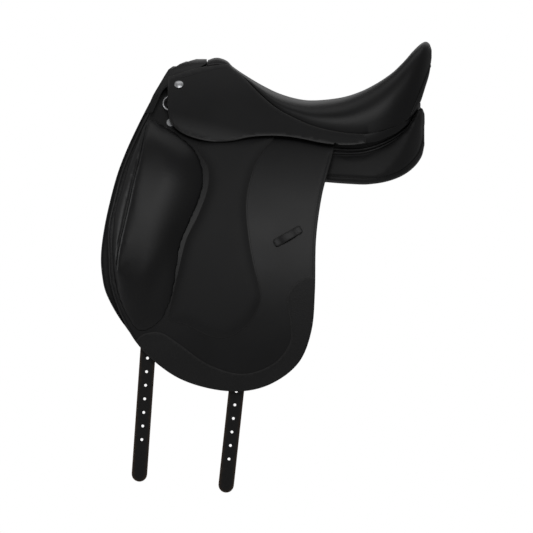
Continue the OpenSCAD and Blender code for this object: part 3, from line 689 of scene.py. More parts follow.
# %% [markdown]
# ## Skirt, its fixed band and the sweat flap
# The skirt covers the stirrup bar. Its upper part is held by the seat's seam and the saddle nail, and
# its lower part lifts. The two meet on the bend line with square ends, so at rest they read as one
# leather. The skirt's lower edge leans in towards the flap. The sweat flap lies against the horse.

# %% Skirt, band and sweat flap
SEAM_LINE = [(-238, 185), (-222, 191), (-183, 202), (-144, 208), (-130, 208), (-122, 201), (-99, 182),
             (-73, 156), (-44, 131), (-14, 114), (20, 99), (54, 90), (88, 84.5), (119, 83)]
SKIRT_LINE = [(-238, 126), (-233, 105), (-218, 88), (-192, 76), (-158, 69), (-124, 70), (-90, 77),
              (-56, 79.5), (-22, 78), (8, 73), (37, 67), (60, 64)]
SWEAT_LINE = [(-226, 186), (-238, 186), (-248, 176), (-258, 161), (-270, 140), (-290, 101),
              (-311, 56), (-328, 12), (-341, -35), (-352, -86), (-358, -134), (-356, -172),
              (-347, -208), (-319, -257), (-280, -300), (-200, -330), (-120, -335), (-40, -300),
              (-5, -220), (0, -100), (10, -20), (20, 20), (-10, 40), (-100, 60), (-200, 82),
              (-226, 120), (-222, 160)]
bend_line = even([along_bend(5, 0), along_bend(319, 0)], 4)
seam_line, skirt_line = smooth(SEAM_LINE, step=4), smooth(SKIRT_LINE, step=4)
band_tail = smooth([(119, 66), (95, 63), (78, 62.6), (70, 63)], step=4)
square_at_bend = lambda p: np.clip(gap_to(p, bend_line) / 5, 0, 1)
hang = lambda p: -5 * np.clip((below_bend(p) - 26) / 32, 0, 1) ** 1.5

band_left = sheet("skirt_band_leather_left", np.vstack([seam_line, band_tail, bend_line[::-1]]),
                  SKIRT, SKIRT_OUT, step=5, free=square_at_bend)
both_sides(band_left, calf, "smooth_leather", node="skirt_band")
skirt_left = sheet("skirt_leather_left", np.vstack([bend_line, skirt_line[::-1]]), SKIRT, SKIRT_OUT,
                   step=5, free=square_at_bend, shift=hang)
both_sides(skirt_left, calf, "smooth_leather", "skirt", "skirt")
sweat_outline = turning(smooth(SWEAT_LINE, closed=True, step=4))
sweat_left = sheet("sweat_flap_leather_left", sweat_outline, 0, 3, step=7)
both_sides(sweat_left, soft_calf, "soft_leather", node="sweat_flap")

# %% [markdown]
# ## Stuffed pieces
# A knee block or a panel is a leather skin over foam or wool, so its faces swell and its corners pull
# in. Sculpting that by hand takes long. Here each piece starts a little slack, gets an even mesh, and a
# short cloth simulation blows it up like a filled skin. How far a point may move is capped, so the
# piece keeps its place, and its back is held where it is sewn down.

# %% Filling a skin
SWELL_FRAMES = 20


def applied(piece):
    """The piece's modifiers, worked into its mesh."""
    seen = piece.evaluated_get(bpy.context.evaluated_depsgraph_get())
    mesh = bpy.data.meshes.new_from_object(seen)
    piece.modifiers.clear()
    piece.data = mesh
    return piece


def places_of(mesh):
    flat = np.empty(len(mesh.vertices) * 3, np.float32)
    mesh.vertices.foreach_get("co", flat)
    return flat.reshape(-1, 3).astype(float)


def set_places(mesh, places):
    mesh.vertices.foreach_set("co", places.astype(np.float32).ravel())
    mesh.update()


def even_skin(piece, voxel, rounds):
    """Gives the piece an even mesh and rounds its corners off."""
    remesh = piece.modifiers.new("even", "REMESH")
    remesh.mode = "VOXEL"
    remesh.voxel_size = voxel * MM
    ease = piece.modifiers.new("ease", "SMOOTH")
    ease.factor, ease.iterations = 0.5, rounds
    return applied(piece)


def filled(piece, cap, held=None, pressure=4.0):
    """Blows the skin up, keeps each point within the cap, and refines the mesh once."""
    rest = places_of(piece.data)
    cloth = piece.modifiers.new("skin", "CLOTH")
    cloth.settings.use_pressure = True
    cloth.settings.uniform_pressure_force = pressure
    cloth.settings.effector_weights.gravity = 0
    cloth.settings.quality = 5
    if held is not None:
        pins = piece.vertex_groups.new(name="held")
        pins.add([int(i) for i in np.flatnonzero(held(rest / MM))], 1.0, "REPLACE")
        cloth.settings.vertex_group_mass = "held"
    for step in range(1, SWELL_FRAMES + 1):
        scene.frame_set(step)
    seen = piece.evaluated_get(bpy.context.evaluated_depsgraph_get())
    moved = places_of(seen.data) - rest
    piece.modifiers.clear()
    scene.frame_set(1)
    length = np.linalg.norm(moved, axis=1)[:, None]
    set_places(piece.data, rest + moved * np.minimum(1, cap * MM / np.maximum(length, 1e-9)))
    refine = piece.modifiers.new("refine", "SUBSURF")
    refine.levels = refine.render_levels = 1
    applied(piece)
    piece.data.shade_smooth()
    return piece


def press_in(piece, line, depth, width, window=None):
    """Sinks a seam into a finished skin, along the skin's own normals."""
    places = places_of(piece.data)
    normals = np.array([v.normal for v in piece.data.vertices])
    near = gap_to(places[:, [0, 2]] / MM, line)
    amount = depth * np.exp(-(near / width) ** 2)
    if window is not None:
        amount = amount * window(places / MM, normals)
    set_places(piece.data, places - normals * amount[:, None] * MM)


# %% [markdown]
# ## Knee block
# A block is cut from firm foam and skinned with leather, which is drawn in at the gusset seam along
# its front. So it lies flat on the flap, with a steep wall in front of the seam and a full face behind
# it. A sheet raised by a smooth height gives that form, and the filling then makes it look stuffed.

# %% Knee block
BLOCK_LINE = [(-273, 111), (-243, 97), (-209, 74), (-184, 47), (-173, 8), (-178, -28), (-196, -72),
              (-213, -113), (-221, -158), (-227, -198), (-236, -228), (-252, -256), (-286, -274),
              (-309, -250), (-326, -214), (-336, -165), (-338, -110), (-334, -60), (-323, -20),
              (-308, 30), (-291, 72)]
GUSSET_LINE = [(-276, 104), (-279, 93), (-285, 62), (-292, 31), (-300, 0), (-309, -42), (-317, -78),
               (-325, -112), (-330, -140), (-332, -160)]
BLOCK_PEAK = [(-285, 5), (-255, 12), (-170, 23), (-60, 29), (20, 33), (70, 30), (98, 18), (112, 7)]
block_outline = turning(smooth(BLOCK_LINE, closed=True, step=4))
gusset = smooth(GUSSET_LINE, step=3)
block_peak = smooth(BLOCK_PEAK, step=3)
ridge = np.array([(-215.0, -62.0), (-300.0, -186.0)])


def block_height(p):
    """Steep in front of the gusset seam, full behind it, and falling away to the thigh."""
    edge = gap_to(p, np.vstack([block_outline, block_outline[:1]]))
    seam = gap_to(p, gusset)
    order = np.argsort(gusset[:, 1])
    ahead = p[:, 0] < np.interp(p[:, 1], gusset[order, 1], gusset[order, 0])
    peak = np.interp(p[:, 1], *block_peak.T)
    share = edge / (edge + seam + 1e-6)
    wall = 0.86 * peak * np.sin(share * math.pi / 2) ** 0.75
    far = 1 - share
    face = peak * (0.86 + 0.55 * share * far) * (1 - far ** 2.6) ** 0.8
    run = (ridge[1] - ridge[0]) / np.linalg.norm(ridge[1] - ridge[0])
    under = (p - ridge[0]) @ np.array([-run[1], run[0]])
    flat = 1 - 0.26 * np.clip(under / 40, 0, 1) ** 2 * (3 - 2 * np.clip(under / 40, 0, 1))
    return np.where(ahead, wall, face * flat)


block_left = sheet("knee_block_skin_left", block_outline, FLAP_OUT - 2.6, FLAP_OUT + 2.6, step=5,
                   relief=block_height, rim=1.2)
even_skin(block_left, 4.5, 3)
filled(block_left, 5, held=lambda p: p[:, 1] > -side_at(p[:, 2], FLAP_OUT + 1.0))
press_in(block_left, gusset, 1.6, 2.6)
blocks = both_sides(block_left, calf, "stuffed_block", "flap", "knee_block")

# %% [markdown]
# ## Thigh insert, trim and keeper
# A thin soft pad is sewn into the flap where the thigh lies: one pillow whose border sinks to its seam.
# A strip of pebble-grained leather guards the flap's lower edge, and a short keeper holds the end of
# the stirrup leather. All three are cut plates on the flap's face.

# %% Thigh insert, edge trim and keeper
PAD_LINE = [(-47, 79), (-69, 50), (-86, 16), (-97, -40), (-93, -100), (-84, -152), (-75, -187),
            (-71, -213), (-79, -237), (-96, -262), (-130, -283), (-164, -281), (-207, -260),
            (-235, -252), (-230, -215), (-219, -165), (-205, -108), (-182, -60), (-166, -14),
            (-166, 24), (-184, 62), (-150, 78), (-100, 84)]
TRIM_LINE = [(24, -176), (10, -177), (-5, -184), (-18, -199), (-23, -220), (-17, -265), (-20, -297),
             (-50, -332), (-104, -349), (-165, -332), (-218, -295), (-250, -275), (-278, -276),
             (-294, -287)]
pad_outline = turning(smooth(PAD_LINE, closed=True, step=4))
pad_border = np.vstack([pad_outline, pad_outline[:1]])
pillow = lambda p: 4.0 * (1 - np.exp(-(gap_to(p, pad_border) / 9) ** 1.4))
pad_left = sheet("thigh_pad_skin_left", pad_outline, FLAP_OUT + 0.05, FLAP_OUT + 0.75, step=5, rim=0.5,
                 relief=pillow, rows=[inset(pad_outline, d) for d in (3, 6, 10)])
for own in both_sides(pad_left, soft_calf, "soft_leather", "flap", "thigh_pad"):
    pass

trim_line = smooth(TRIM_LINE, step=4)
start, end = (int(np.argmin(np.linalg.norm(flap_outline - trim_line[i], axis=1))) for i in (0, -1))
lower_edge = np.roll(flap_outline, -end, 0)[:(start - end) % len(flap_outline) + 1]
trim_outline = np.vstack([trim_line[1:-1], lower_edge])
trim_left = sheet("edge_trim_left", trim_outline, FLAP_OUT + 0.02, FLAP_OUT + 1.8, step=5, rim=0.6)
both_sides(trim_left, pebble, "grained_leather", "flap", "flap_trim")

KEEPER_TURN = math.radians(30)
keeper_place = np.array([-22.0, -101.0])
keeper_run = np.array([math.cos(KEEPER_TURN), math.sin(KEEPER_TURN)])
keeper_side = np.array([-keeper_run[1], keeper_run[0]])
strap_corners = [(-28, -5), (-28, 5), (-25.5, 7.5), (25.5, 7.5), (28, 5), (28, -5), (25.5, -7.5),
                 (-25.5, -7.5), (-28, -5)]
keeper_outline = even([keeper_place + keeper_run * a + keeper_side * b for a, b in strap_corners], 2)[:-1]
arch_up = lambda p: 2.4 * np.clip(1 - (((p - keeper_place) @ keeper_run) / 17) ** 2, 0, 1)
keeper_left = sheet("keeper_strap_left", keeper_outline, FLAP_OUT + 0.1, FLAP_OUT + 2.8, step=3,
                    shift=arch_up)
both_sides(keeper_left, calf, "smooth_leather", "flap", "keeper")

# %% [markdown]
# ## Billets
# A billet is a strap with eight punched holes. The holes are cut into the net itself, so that light
# shows through them, and the raw edge keeps a little of the leather's own tan.

# %% Billets
BILLET_WIDTH, HOLE_PITCH, HOLE_RADIUS = 28.0, 24.5, 2.5
BILLETS = {"front": ((-248, 58), 4.0, 355, 76), "rear": ((-67, 58), 6.2, 392, 61)}


def billet_place(pivot, lean, across, down):
    turn = math.radians(lean)
    return np.array([pivot[0] + across * math.cos(turn) - down * math.sin(turn),
                     pivot[1] - across * math.sin(turn) - down * math.cos(turn)])


def billet_lines(pivot, lean, first, tip):
    """The strap's outline and its holes."""
    end = first + 7 * HOLE_PITCH + tip
    half = BILLET_WIDTH / 2
    round_end = [(half * math.cos(a), end - half + half * math.sin(a))
                 for a in np.linspace(0, math.pi, 12)]
    corners = [(half, 0)] + round_end + [(-half, 0)]
    outline = even([billet_place(pivot, lean, *c) for c in corners + corners[:1]], 4)[:-1]
    holes = [np.array([billet_place(pivot, lean, HOLE_RADIUS * math.cos(a),
                                    first + k * HOLE_PITCH + HOLE_RADIUS * math.sin(a))
                       for a in np.linspace(0, 2 * math.pi, 18, endpoint=False)]) for k in range(8)]
    return outline, holes


for end_name, (pivot, lean, first, tip) in BILLETS.items():
    outline, holes = billet_lines(pivot, lean, first, tip)
    own = sheet(f"{end_name}_billet_strap_left", outline, BILLET, BILLET + 4, step=6, rim=1.3,
                holes=holes)
    both_sides(own, strap, "billet_leather", end_name + "_billet", end_name + "_billet")

# %% [markdown]
# ## Seat
# The seat leather is drawn over foam on a sprung tree: narrow and high at the pommel, low in the
# middle, and up again over the cantle. Cross-sections at listed stations give that shape with few
# numbers. The loft is cut along the cantle's side seam, because the back of the cantle is its own
# leather, and both skins get their thickness inwards.

# %% Seat and cantle facing
SEAT_STATIONS = [
    (-166, 216, 0, 205, 204), (-153, 220, 0, 207.5, 206), (-142, 219, 0, 208, 206),
    (-130, 213.5, 0, 206, 203), (-120, 203.5, 0, 197.5, 193), (-94, 186, 0, 177.5, 171),
    (-65, 169, 0, 149, 142), (-35, 155, 0, 125, 118), (-1, 147.5, 2, 108, 101),
    (29, 147.5, 4, 96.5, 90), (71, 156, 8, 87, 82), (105, 171, 14, 84, 80), (135, 190, 20, 86, 84),
    (165, 214, 26, 94.5, 93), (186, 235, 26, 104, 102), (203, 249, 18, 128, 116),
    (216, 254, 10, 158, 138), (226, 252, 3, 184, 168), (233, 245, 0, 205, 192),
    (237, 234, 0, 226, 220)]  # station, rim, dip of the middle, seam, underside
CANTLE_X, CANTLE_REACH, CANTLE_POWER = 100.0, 139.0, 2.3
SEAT_LAYER, RING = 24.4, 72


def cantle_plan(x, half, reach, power=CANTLE_POWER):
    """Half of the width at a station behind the widest part."""
    t = np.clip((np.asarray(x, float) - CANTLE_X) / reach, 0, 1)
    return half * (1 - t ** power) ** (1 / power)


def seat_ring(x, rim, dip, seam, under):
    width = float(side_at(seam, SEAT_LAYER)) if x < CANTLE_X else 999.0
    half = max(2.0, min(width, float(cantle_plan(x, side_at(84, SEAT_LAYER), CANTLE_REACH))))
    a = np.linspace(0, 2 * math.pi, RING, endpoint=False)
    sine, cosine = np.sin(a), np.cos(a)
    middle = np.maximum(0, 1 - (cosine / 0.82) ** 2) ** 2
    upper = seam + (rim - seam) * np.maximum(sine, 0) ** 0.7 - dip * middle
    lower = seam - (seam - under) * np.minimum(1, -2.4 * np.minimum(sine, 0)) ** 0.5
    return np.stack([np.full(RING, x), half * cosine, np.where(sine >= 0, upper, lower)], 1)


def swept(name, rings, tidy=0.02):
    """A closed skin through rings of equal count, with both ends shut."""
    count = len(rings[0])
    faces = []
    for r in range(len(rings) - 1):
        a, b = r * count, (r + 1) * count
        faces += [(a + i, b + i, b + (i + 1) % count, a + (i + 1) % count) for i in range(count)]
    faces += [tuple(range(count)), tuple(range((len(rings) - 1) * count, len(rings) * count))]
    return mesh_piece(name, np.vstack(rings), faces, tidy)


stations = smooth(SEAT_STATIONS, step=3.2)
whole_seat = swept("seat_form", [seat_ring(*s) for s in stations])
SEAM_A, SEAM_B = np.array([197.0, 0, 112.0]), np.array([239.0, 0, 218.0])
WALL = 2.6


def cut_seat(name, keep_front):
    """The part of the seat form on one side of the cantle's seam, opened underneath, with a wall."""
    piece = linked(bpy.data.objects.new(name, whole_seat.data.copy()))
    form = bmesh.new()
    form.from_mesh(piece.data)
    across = np.cross(SEAM_B - SEAM_A, (0, 1, 0))
    across /= np.linalg.norm(across)
    across = across if across[0] > 0 else -across
    place = SEAM_A - across * (0.25 if keep_front else -0.25)
    bmesh.ops.bisect_plane(form, geom=form.verts[:] + form.edges[:] + form.faces[:],
                           plane_co=Vector(place * MM), plane_no=Vector(across),
                           clear_outer=keep_front, clear_inner=not keep_front)
    open_under = [f for f in form.faces if f.normal.z < -0.35 and f.calc_center_median().x < 0.192]
    bmesh.ops.delete(form, geom=open_under, context="FACES")
    form.to_mesh(piece.data)
    form.free()
    wall = piece.modifiers.new("wall", "SOLIDIFY")
    wall.thickness, wall.offset = WALL * MM, -1
    applied(piece)
    piece.data.shade_smooth()
    piece.data.set_sharp_from_angle(angle=SHARP)
    return piece


seat = cut_seat("seat_leather", True)
facing = cut_seat("cantle_facing_leather", False)
bpy.data.objects.remove(whole_seat)
dress(seat, calf, "smooth_leather", "root", "seat_cover")
dress(facing, calf, "smooth_leather", "root", "cantle_facing")

# %% [markdown]
# ## Pommel facing
# Over the withers the front of the saddle is closed by folded leathers that lie on each other, each a
# little further back than the one under it. Each is a strip swept over the arch with a rounded edge.

# %% Pommel facing
FRONT_CONTOUR = [(110, -288), (130, -277), (144, -269), (158, -261), (173, -252), (185, -245),
                 (197, -237), (207, -222), (213, -207), (216, -196), (219, -186)]  # height, front edge
REAR_CONTOUR = [(110, -281), (130, -269), (144, -261), (158, -252), (167, -241), (176, -212), (186, -198),
                (200, -186), (208, -172), (225, -171)]
# Each strip: inner layer, outer layer, set back, how far it runs on at the back
STRIPS = {"inner": (5.5, 11.6, 0.0, 14.0), "middle": (15.9, 20.2, 4.5, 14.0), "outer": (20.5, 24.5, 8.5, 4.0)}
STRIP_LOW = 122.0


def rounded_bar(u0, u1, v0, v1, radius, steps=4):
    """Corner points of a bar's section, with rounded corners."""
    out = []
    for cu, cv, turn in ((u1 - radius, v1 - radius, 0), (u0 + radius, v1 - radius, 90),
                         (u0 + radius, v0 + radius, 180), (u1 - radius, v0 + radius, 270)):
        for a in np.radians(np.linspace(turn, turn + 90, steps)):
            out.append((cu + radius * math.cos(a), cv + radius * math.sin(a)))
    return out


def arch_places(low, layer, count=48):
    """Places and outward directions over the withers, from the near side to the off side."""
    centre_gap = math.hypot(SIDE_Y, CROWN_Z - SIDE_Z)
    radius = SIDE_RADIUS + layer - centre_gap
    meet = math.atan2(CROWN_Z - SIDE_Z, SIDE_Y)
    join_z = CROWN_Z + radius * math.sin(meet)
    near = [((-float(side_at(z, layer)), z), outward(z)[1:]) for z in np.linspace(low, join_z, 14)]
    crown = [((radius * math.cos(a), CROWN_Z + radius * math.sin(a)), np.array([math.cos(a), math.sin(a)]))
             for a in np.linspace(math.pi - meet, meet, count)[1:-1]]
    far = [((-p[0], p[1]), n * (-1, 1)) for p, n in near[::-1]]
    return near + crown + far


for label, (low_layer, high_layer, back, run_on) in STRIPS.items():
    mid = (low_layer + high_layer) / 2
    rings = []
    for (y, z), face in arch_places(STRIP_LOW, mid):
        full = float(np.interp(z, (STRIP_LOW, STRIP_LOW + 30), (0.2, 1)))
        front = np.interp(z, *np.array(FRONT_CONTOUR, float).T) + back + 3 * (1 - full)
        reached = np.interp(z, *np.array(REAR_CONTOUR, float).T) + run_on * np.clip((z - 150) / 40, 0, 1)
        rear = max(front + 5, reached)
        deep = -4.0 if label == "middle" and z > 189 else 0.0
        top = low_layer - mid + (high_layer - low_layer) * full
        round_by = min(1.6, 0.45 * (top - low_layer + mid))
        section = rounded_bar(front, rear, low_layer - mid + deep, top, round_by)
        rings.append([(u, y + v * face[0], z + v * face[1]) for u, v in section])
    own = swept(f"pommel_facing_{label}", rings)
    dress(own, calf, "smooth_leather", "root", "pommel_facing")

# %% [markdown]
# ## Rear band
# The tails of the two skirts meet behind the seat as one narrow band under the cantle.

# %% Rear band
BAND_LOW = [(60, 62.5), (95, 63), (119, 66), (139, 69), (173, 84), (196, 102), (209, 121), (215, 131)]
BAND_HIGH = [(105, 83.5), (119, 83), (148, 88), (173, 97), (195, 111), (209, 129), (215, 139)]
BAND_REACH, BAND_POWER = 117.0, 2.4


def round_back(start_x, half, reach, power):
    """Plan points from the near side round the cantle to the off side, with their outward direction."""
    a = np.linspace(-math.pi / 2, math.pi / 2, 400)
    x = CANTLE_X + reach * np.abs(np.cos(a)) ** (2 / power)
    y = half * np.sign(np.sin(a)) * np.abs(np.sin(a)) ** (2 / power)
    plan = np.stack([x, y], 1)
    if start_x < CANTLE_X:
        plan = np.vstack([[(start_x, -half)], plan, [(start_x, half)]])
    else:
        plan = plan[plan[:, 0] >= start_x]
    plan = even(plan, 4.5)
    run = np.gradient(plan, axis=0)
    run /= np.linalg.norm(run, axis=1)[:, None]
    return plan, np.stack([run[:, 1], -run[:, 0]], 1)


plan, out = round_back(113, float(side_at(75, SKIRT_OUT)) - 2.3, BAND_REACH - 1.75, BAND_POWER)
rings = []
for (x, y), (nx, ny) in zip(plan, out):
    low = np.interp(x, *np.array(BAND_LOW, float).T)
    high = np.interp(x, *np.array(BAND_HIGH, float).T)
    section = rounded_bar(low, high, -1.75, 1.75, 1.4)
    rings.append([(x + v * nx, y + v * ny, u) for u, v in section])
rear_band = swept("rear_band_leather", rings)
dress(rear_band, calf, "smooth_leather", "root", "rear_band")

# %% [markdown]
# ## Panels and foam
# The panels are long cushions stuffed with wool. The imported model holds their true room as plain
# solids, so a copy of each is the pattern: an even skin, its corners eased, then filled like the block.
# The rear end is pushed out and up a little first, as packed wool swells further than the filling.

# %% Panels, foam and pockets
def from_node(node, name):
    """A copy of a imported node's mesh, with its loose triangles joined."""
    piece = linked(bpy.data.objects.new(name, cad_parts[node].data.copy()))
    piece.data.materials.clear()
    form = bmesh.new()
    form.from_mesh(piece.data)
    bmesh.ops.remove_doubles(form, verts=form.verts, dist=0.01 * MM)
    form.to_mesh(piece.data)
    form.free()
    for attribute in [a.name for a in piece.data.attributes if a.name.startswith(("UV", "custom"))]:
        piece.data.attributes.remove(piece.data.attributes[attribute])
    return piece


PANEL_SEAM = [(40, 9), (92, 5), (135, 3), (165, 9), (190, 22), (211, 44), (221, 70), (222, 96)]
panel_seam = smooth(PANEL_SEAM, step=3)
panel_left = from_node("panel_left", "panel_skin_left")
even_skin(panel_left, 5.5, 9)
rest = places_of(panel_left.data) / MM
behind = np.clip((rest[:, 0] - 150) / 60, 0, 1) ** 2
rest[:, 0] += 2.5 * behind
rest[:, 2] += 10 * behind * np.clip((rest[:, 2] - 50) / 60, 0, 1)
set_places(panel_left.data, rest * MM)
filled(panel_left, 5, pressure=3.0)
facing_out = lambda p, n: (n[:, 1] < 0.3).astype(float)
press_in(panel_left, panel_seam, 1.8, 2.8, facing_out)
for own in both_sides(panel_left, soft_calf, "stuffed_panel", node="panel"):
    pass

seat_foam = from_node("seat_foam", "seat_foam_block")
even_skin(seat_foam, 7, 2)
seat_foam.data.shade_smooth()
dress(seat_foam, foam, "foam", "root", "seat_foam")

POCKET_LINE = [(-246, 84), (-244, 42), (-204, 42), (-200, 63), (-202.4, 62.5), (-207, 49), (-235, 49),
               (-241.4, 61), (-241.4, 84), (-246, 84)]
pocket_left = sheet("point_pocket_leather_left", even(POCKET_LINE, 2.5)[:-1], -15.2, -4.6, step=3,
                    rim=0.9)
both_sides(pocket_left, soft_calf, "soft_leather", node="point_pocket")

# %% [markdown]
# ## Dee ring tab
# A short strap is folded round the ring's straight side. It is swept along its own folded line.

# %% Dee ring tab
DEE_X, DEE_Z, DEE_LAYER, TAB_HEIGHT, TAB_THICK = -236.0, 138.0, 20.4, 14.0, 1.9
fold = [(19, 1.2), (12, 1.3), (6, 2.1)]
fold += [(2.65 * math.cos(a), 2.65 * math.sin(a)) for a in np.radians(np.linspace(90, 270, 11))]
fold += [(6, -2.7), (12, -3.0), (19, -3.1)]
fold = even(fold, 1.5)
run = np.gradient(fold, axis=0)
run /= np.linalg.norm(run, axis=1)[:, None]
dee_face = outward(DEE_Z)
dee_up = np.array([0, dee_face[2], -dee_face[1]])
dee_middle = on_side([(DEE_X, DEE_Z)], DEE_LAYER)[0]
rings = []
for (a, out_by), (ra, ro) in zip(fold, run):
    section = rounded_bar(-TAB_HEIGHT / 2, TAB_HEIGHT / 2, -TAB_THICK / 2, TAB_THICK / 2, 0.7, 3)
    rings.append([dee_middle + np.array([1, 0, 0]) * (a - v * ro) + dee_face * (out_by + v * ra)
                  + dee_up * u for u, v in section])
tab_left = swept("dee_tab_strap_left", rings)
both_sides(tab_left, calf, "smooth_leather", "flap", "dee_tab")

# %% [markdown]
# ## Stitches and welts
# A saddle has thousands of stitches. Modelling them one by one is hopeless and a texture would be flat,
# so Geometry Nodes lay them: a line is cut into even steps, a small grain of thread stands at each, and
# the result is turned into a plain mesh. Welts are the same idea with a round cord swept along.

# %% Stitch and welt node trees
def geometry_tree(name, inputs):
    tree = bpy.data.node_groups.new(name, "GeometryNodeTree")
    tree.interface.new_socket("Geometry", in_out="INPUT", socket_type="NodeSocketGeometry")
    for label, kind, value in inputs:
        socket = tree.interface.new_socket(label, in_out="INPUT", socket_type=kind)
        if value is not None:
            socket.default_value = value
    tree.interface.new_socket("Geometry", in_out="OUTPUT", socket_type="NodeSocketGeometry")
    return tree, tree.nodes.new("NodeGroupInput"), tree.nodes.new("NodeGroupOutput")


def joined(tree, *steps):
    """Links each pair of sockets."""
    for a, b in steps:
        tree.links.new(a, b)


MATERIAL = "NodeSocketMaterial"
stitch_tree, s_in, s_out = geometry_tree("stitch_row", [("Pitch", FLOAT, 3.3 * MM),
                                                        ("Length", FLOAT, 2.4 * MM),
                                                        ("Thickness", FLOAT, 0.9 * MM),
                                                        ("Thread", MATERIAL, None)])
new = stitch_tree.nodes.new
steps = new("GeometryNodeCurveToPoints")
steps.mode = "LENGTH"
bead = new("GeometryNodeMeshUVSphere")
bead.inputs["Segments"].default_value, bead.inputs["Rings"].default_value = 6, 4
bead.inputs["Radius"].default_value = 0.5
size = new("ShaderNodeCombineXYZ")
turn = new("FunctionNodeAlignRotationToVector")
turn.axis = "Z"
laid = new("GeometryNodeInstanceOnPoints")
real = new("GeometryNodeRealizeInstances")
soft_shade = new("GeometryNodeSetShadeSmooth")
paint = new("GeometryNodeSetMaterial")
joined(stitch_tree, (s_in.outputs["Geometry"], steps.inputs["Curve"]),
       (s_in.outputs["Pitch"], steps.inputs["Length"]),
       (steps.outputs["Points"], laid.inputs["Points"]), (bead.outputs["Mesh"], laid.inputs["Instance"]),
       (steps.outputs["Tangent"], turn.inputs["Vector"]), (turn.outputs[0], laid.inputs["Rotation"]),
       (s_in.outputs["Thickness"], size.inputs["X"]), (s_in.outputs["Thickness"], size.inputs["Y"]),
       (s_in.outputs["Length"], size.inputs["Z"]), (size.outputs[0], laid.inputs["Scale"]),
       (laid.outputs[0], real.inputs[0]), (real.outputs[0], soft_shade.inputs[0]),
       (soft_shade.outputs[0], paint.inputs["Geometry"]), (s_in.outputs["Thread"], paint.inputs["Material"]),
       (paint.outputs[0], s_out.inputs[0]))

welt_tree, c_in, c_out = geometry_tree("welt_cord", [("Radius", FLOAT, 1.5 * MM),
                                                     ("Leather", MATERIAL, None)])
new = welt_tree.nodes.new
ring = new("GeometryNodeCurvePrimitiveCircle")
ring.inputs["Resolution"].default_value = 10
tube = new("GeometryNodeCurveToMesh")
tube.inputs["Fill Caps"].default_value = True
soft_shade, real, paint = (new("GeometryNodeSetShadeSmooth"), new("GeometryNodeRealizeInstances"),
                           new("GeometryNodeSetMaterial"))
joined(welt_tree, (c_in.outputs["Geometry"], tube.inputs["Curve"]),
       (c_in.outputs["Radius"], ring.inputs["Radius"]), (ring.outputs[0], tube.inputs["Profile Curve"]),
       (tube.outputs[0], soft_shade.inputs[0]), (soft_shade.outputs[0], real.inputs[0]),
       (real.outputs[0], paint.inputs["Geometry"]), (c_in.outputs["Leather"], paint.inputs["Material"]),
       (paint.outputs[0], c_out.inputs[0]))


def along_lines(name, lines, tree, values):
    """One mesh made by a node tree along lines of places in millimetres."""
    curve = bpy.data.curves.new(name, "CURVE")
    curve.dimensions = "3D"
    for line in lines:
        spline = curve.splines.new("POLY")
        spline.points.add(len(line) - 1)
        spline.points.foreach_set("co", np.c_[np.asarray(line) * MM, np.ones(len(line))].ravel())
    holder = linked(bpy.data.objects.new(name + "_line", curve))
    modifier = holder.modifiers.new("made", "NODES")
    modifier.node_group = tree
    for item in tree.interface.items_tree:
        if item.in_out == "INPUT" and item.name in values:
            modifier[item.identifier] = values[item.name]
    seen = holder.evaluated_get(bpy.context.evaluated_depsgraph_get())
    mesh = bpy.data.meshes.new_from_object(seen)
    bpy.data.objects.remove(holder)
    mesh.name = name
    return linked(bpy.data.objects.new(name, mesh))


def draped(line, pieces, lift):
    """Outline points laid on the outermost of some pieces, seen from the near side."""
    trees = []
    for own in pieces:
        mesh = own.data
        trees.append(BVHTree.FromPolygons([v.co for v in mesh.vertices],
                                          [tuple(p.vertices) for p in mesh.polygons]))
    out = []
    for x, z in np.asarray(line, float):
        hits = [t.ray_cast(Vector((x * MM, -0.5, z * MM)), Vector((0, 1, 0))) for t in trees]
        hits = [h for h in hits if h[0] is not None]
        if not hits:
            continue
        first = min(hits, key=lambda h: h[0].y)
        normal = np.array(first[1])
        normal = normal if normal[1] < 0 else -normal
        out.append(np.array(first[0]) / MM + normal * lift)
    return np.array(out)


print("node trees:", stitch_tree.name, welt_tree.name)

# %% [markdown]
# ## Rows of stitches
# A row follows the edge or seam that it holds, a few millimetres in. So most rows are that outline,
# inset and cut to the stretch that shows. Each is laid on the leather by casting it from outside.

# %% Where the rows run
def ordered_inset(outline, distance, test):
    """Part of an inset outline, as one unbroken run."""
    ring_line = inset(turning(outline), distance)
    keep = test(ring_line)
    first = int(np.flatnonzero(keep & ~np.roll(keep, 1))[0])
    rolled, kept = np.roll(ring_line, -first, 0), np.roll(keep, -first)
    return rolled[:int(np.argmin(kept))]


front_of_flap = ordered_inset(flap_outline, 5.5,
                              lambda p: (p[:, 1] < 118) & (p[:, 1] > -290) & (p[:, 0] < -200))
rear_of_flap = ordered_inset(flap_outline, 4.0,
                             lambda p: (p[:, 1] < 46) & (p[:, 1] > -172) & (p[:, 0] > 0))
insert_row = ordered_inset(pad_outline, -2.6,
                           lambda p: (p[:, 0] > -222) & (p[:, 1] < 60)
                           & ((p[:, 0] > -160) | (p[:, 1] < -240)))
lower_seam = smooth([(-238, -256), (-250, -260), (-265, -270), (-290, -284)], step=3)
trim_ring = inset(turning(trim_outline), 3.2)
trim_row = np.vstack([trim_ring, trim_ring[:1]])
END_BOX = [(26, -5), (26, 5), (19, 5), (19, -5), (26, -5)]
keeper_boxes = [even([keeper_place + keeper_run * a * end + keeper_side * b for a, b in END_BOX], 2)
                for end in (-1, 1)]
SEAT_SEAM = [(-44, 131), (-14, 114), (20, 99), (54, 90), (88, 84.5), (116, 83)]
seat_row = beside(smooth(SEAT_SEAM, step=4), -6.5)
tail_row = beside(smooth([(64, 63), (78, 62.6), (95, 63), (119, 66)], step=4), 4.0)[1:-1]
pommel_row = smooth([(-214, 184), (-190, 190.5), (-168, 196), (-146, 201), (-132, 201)], step=3)
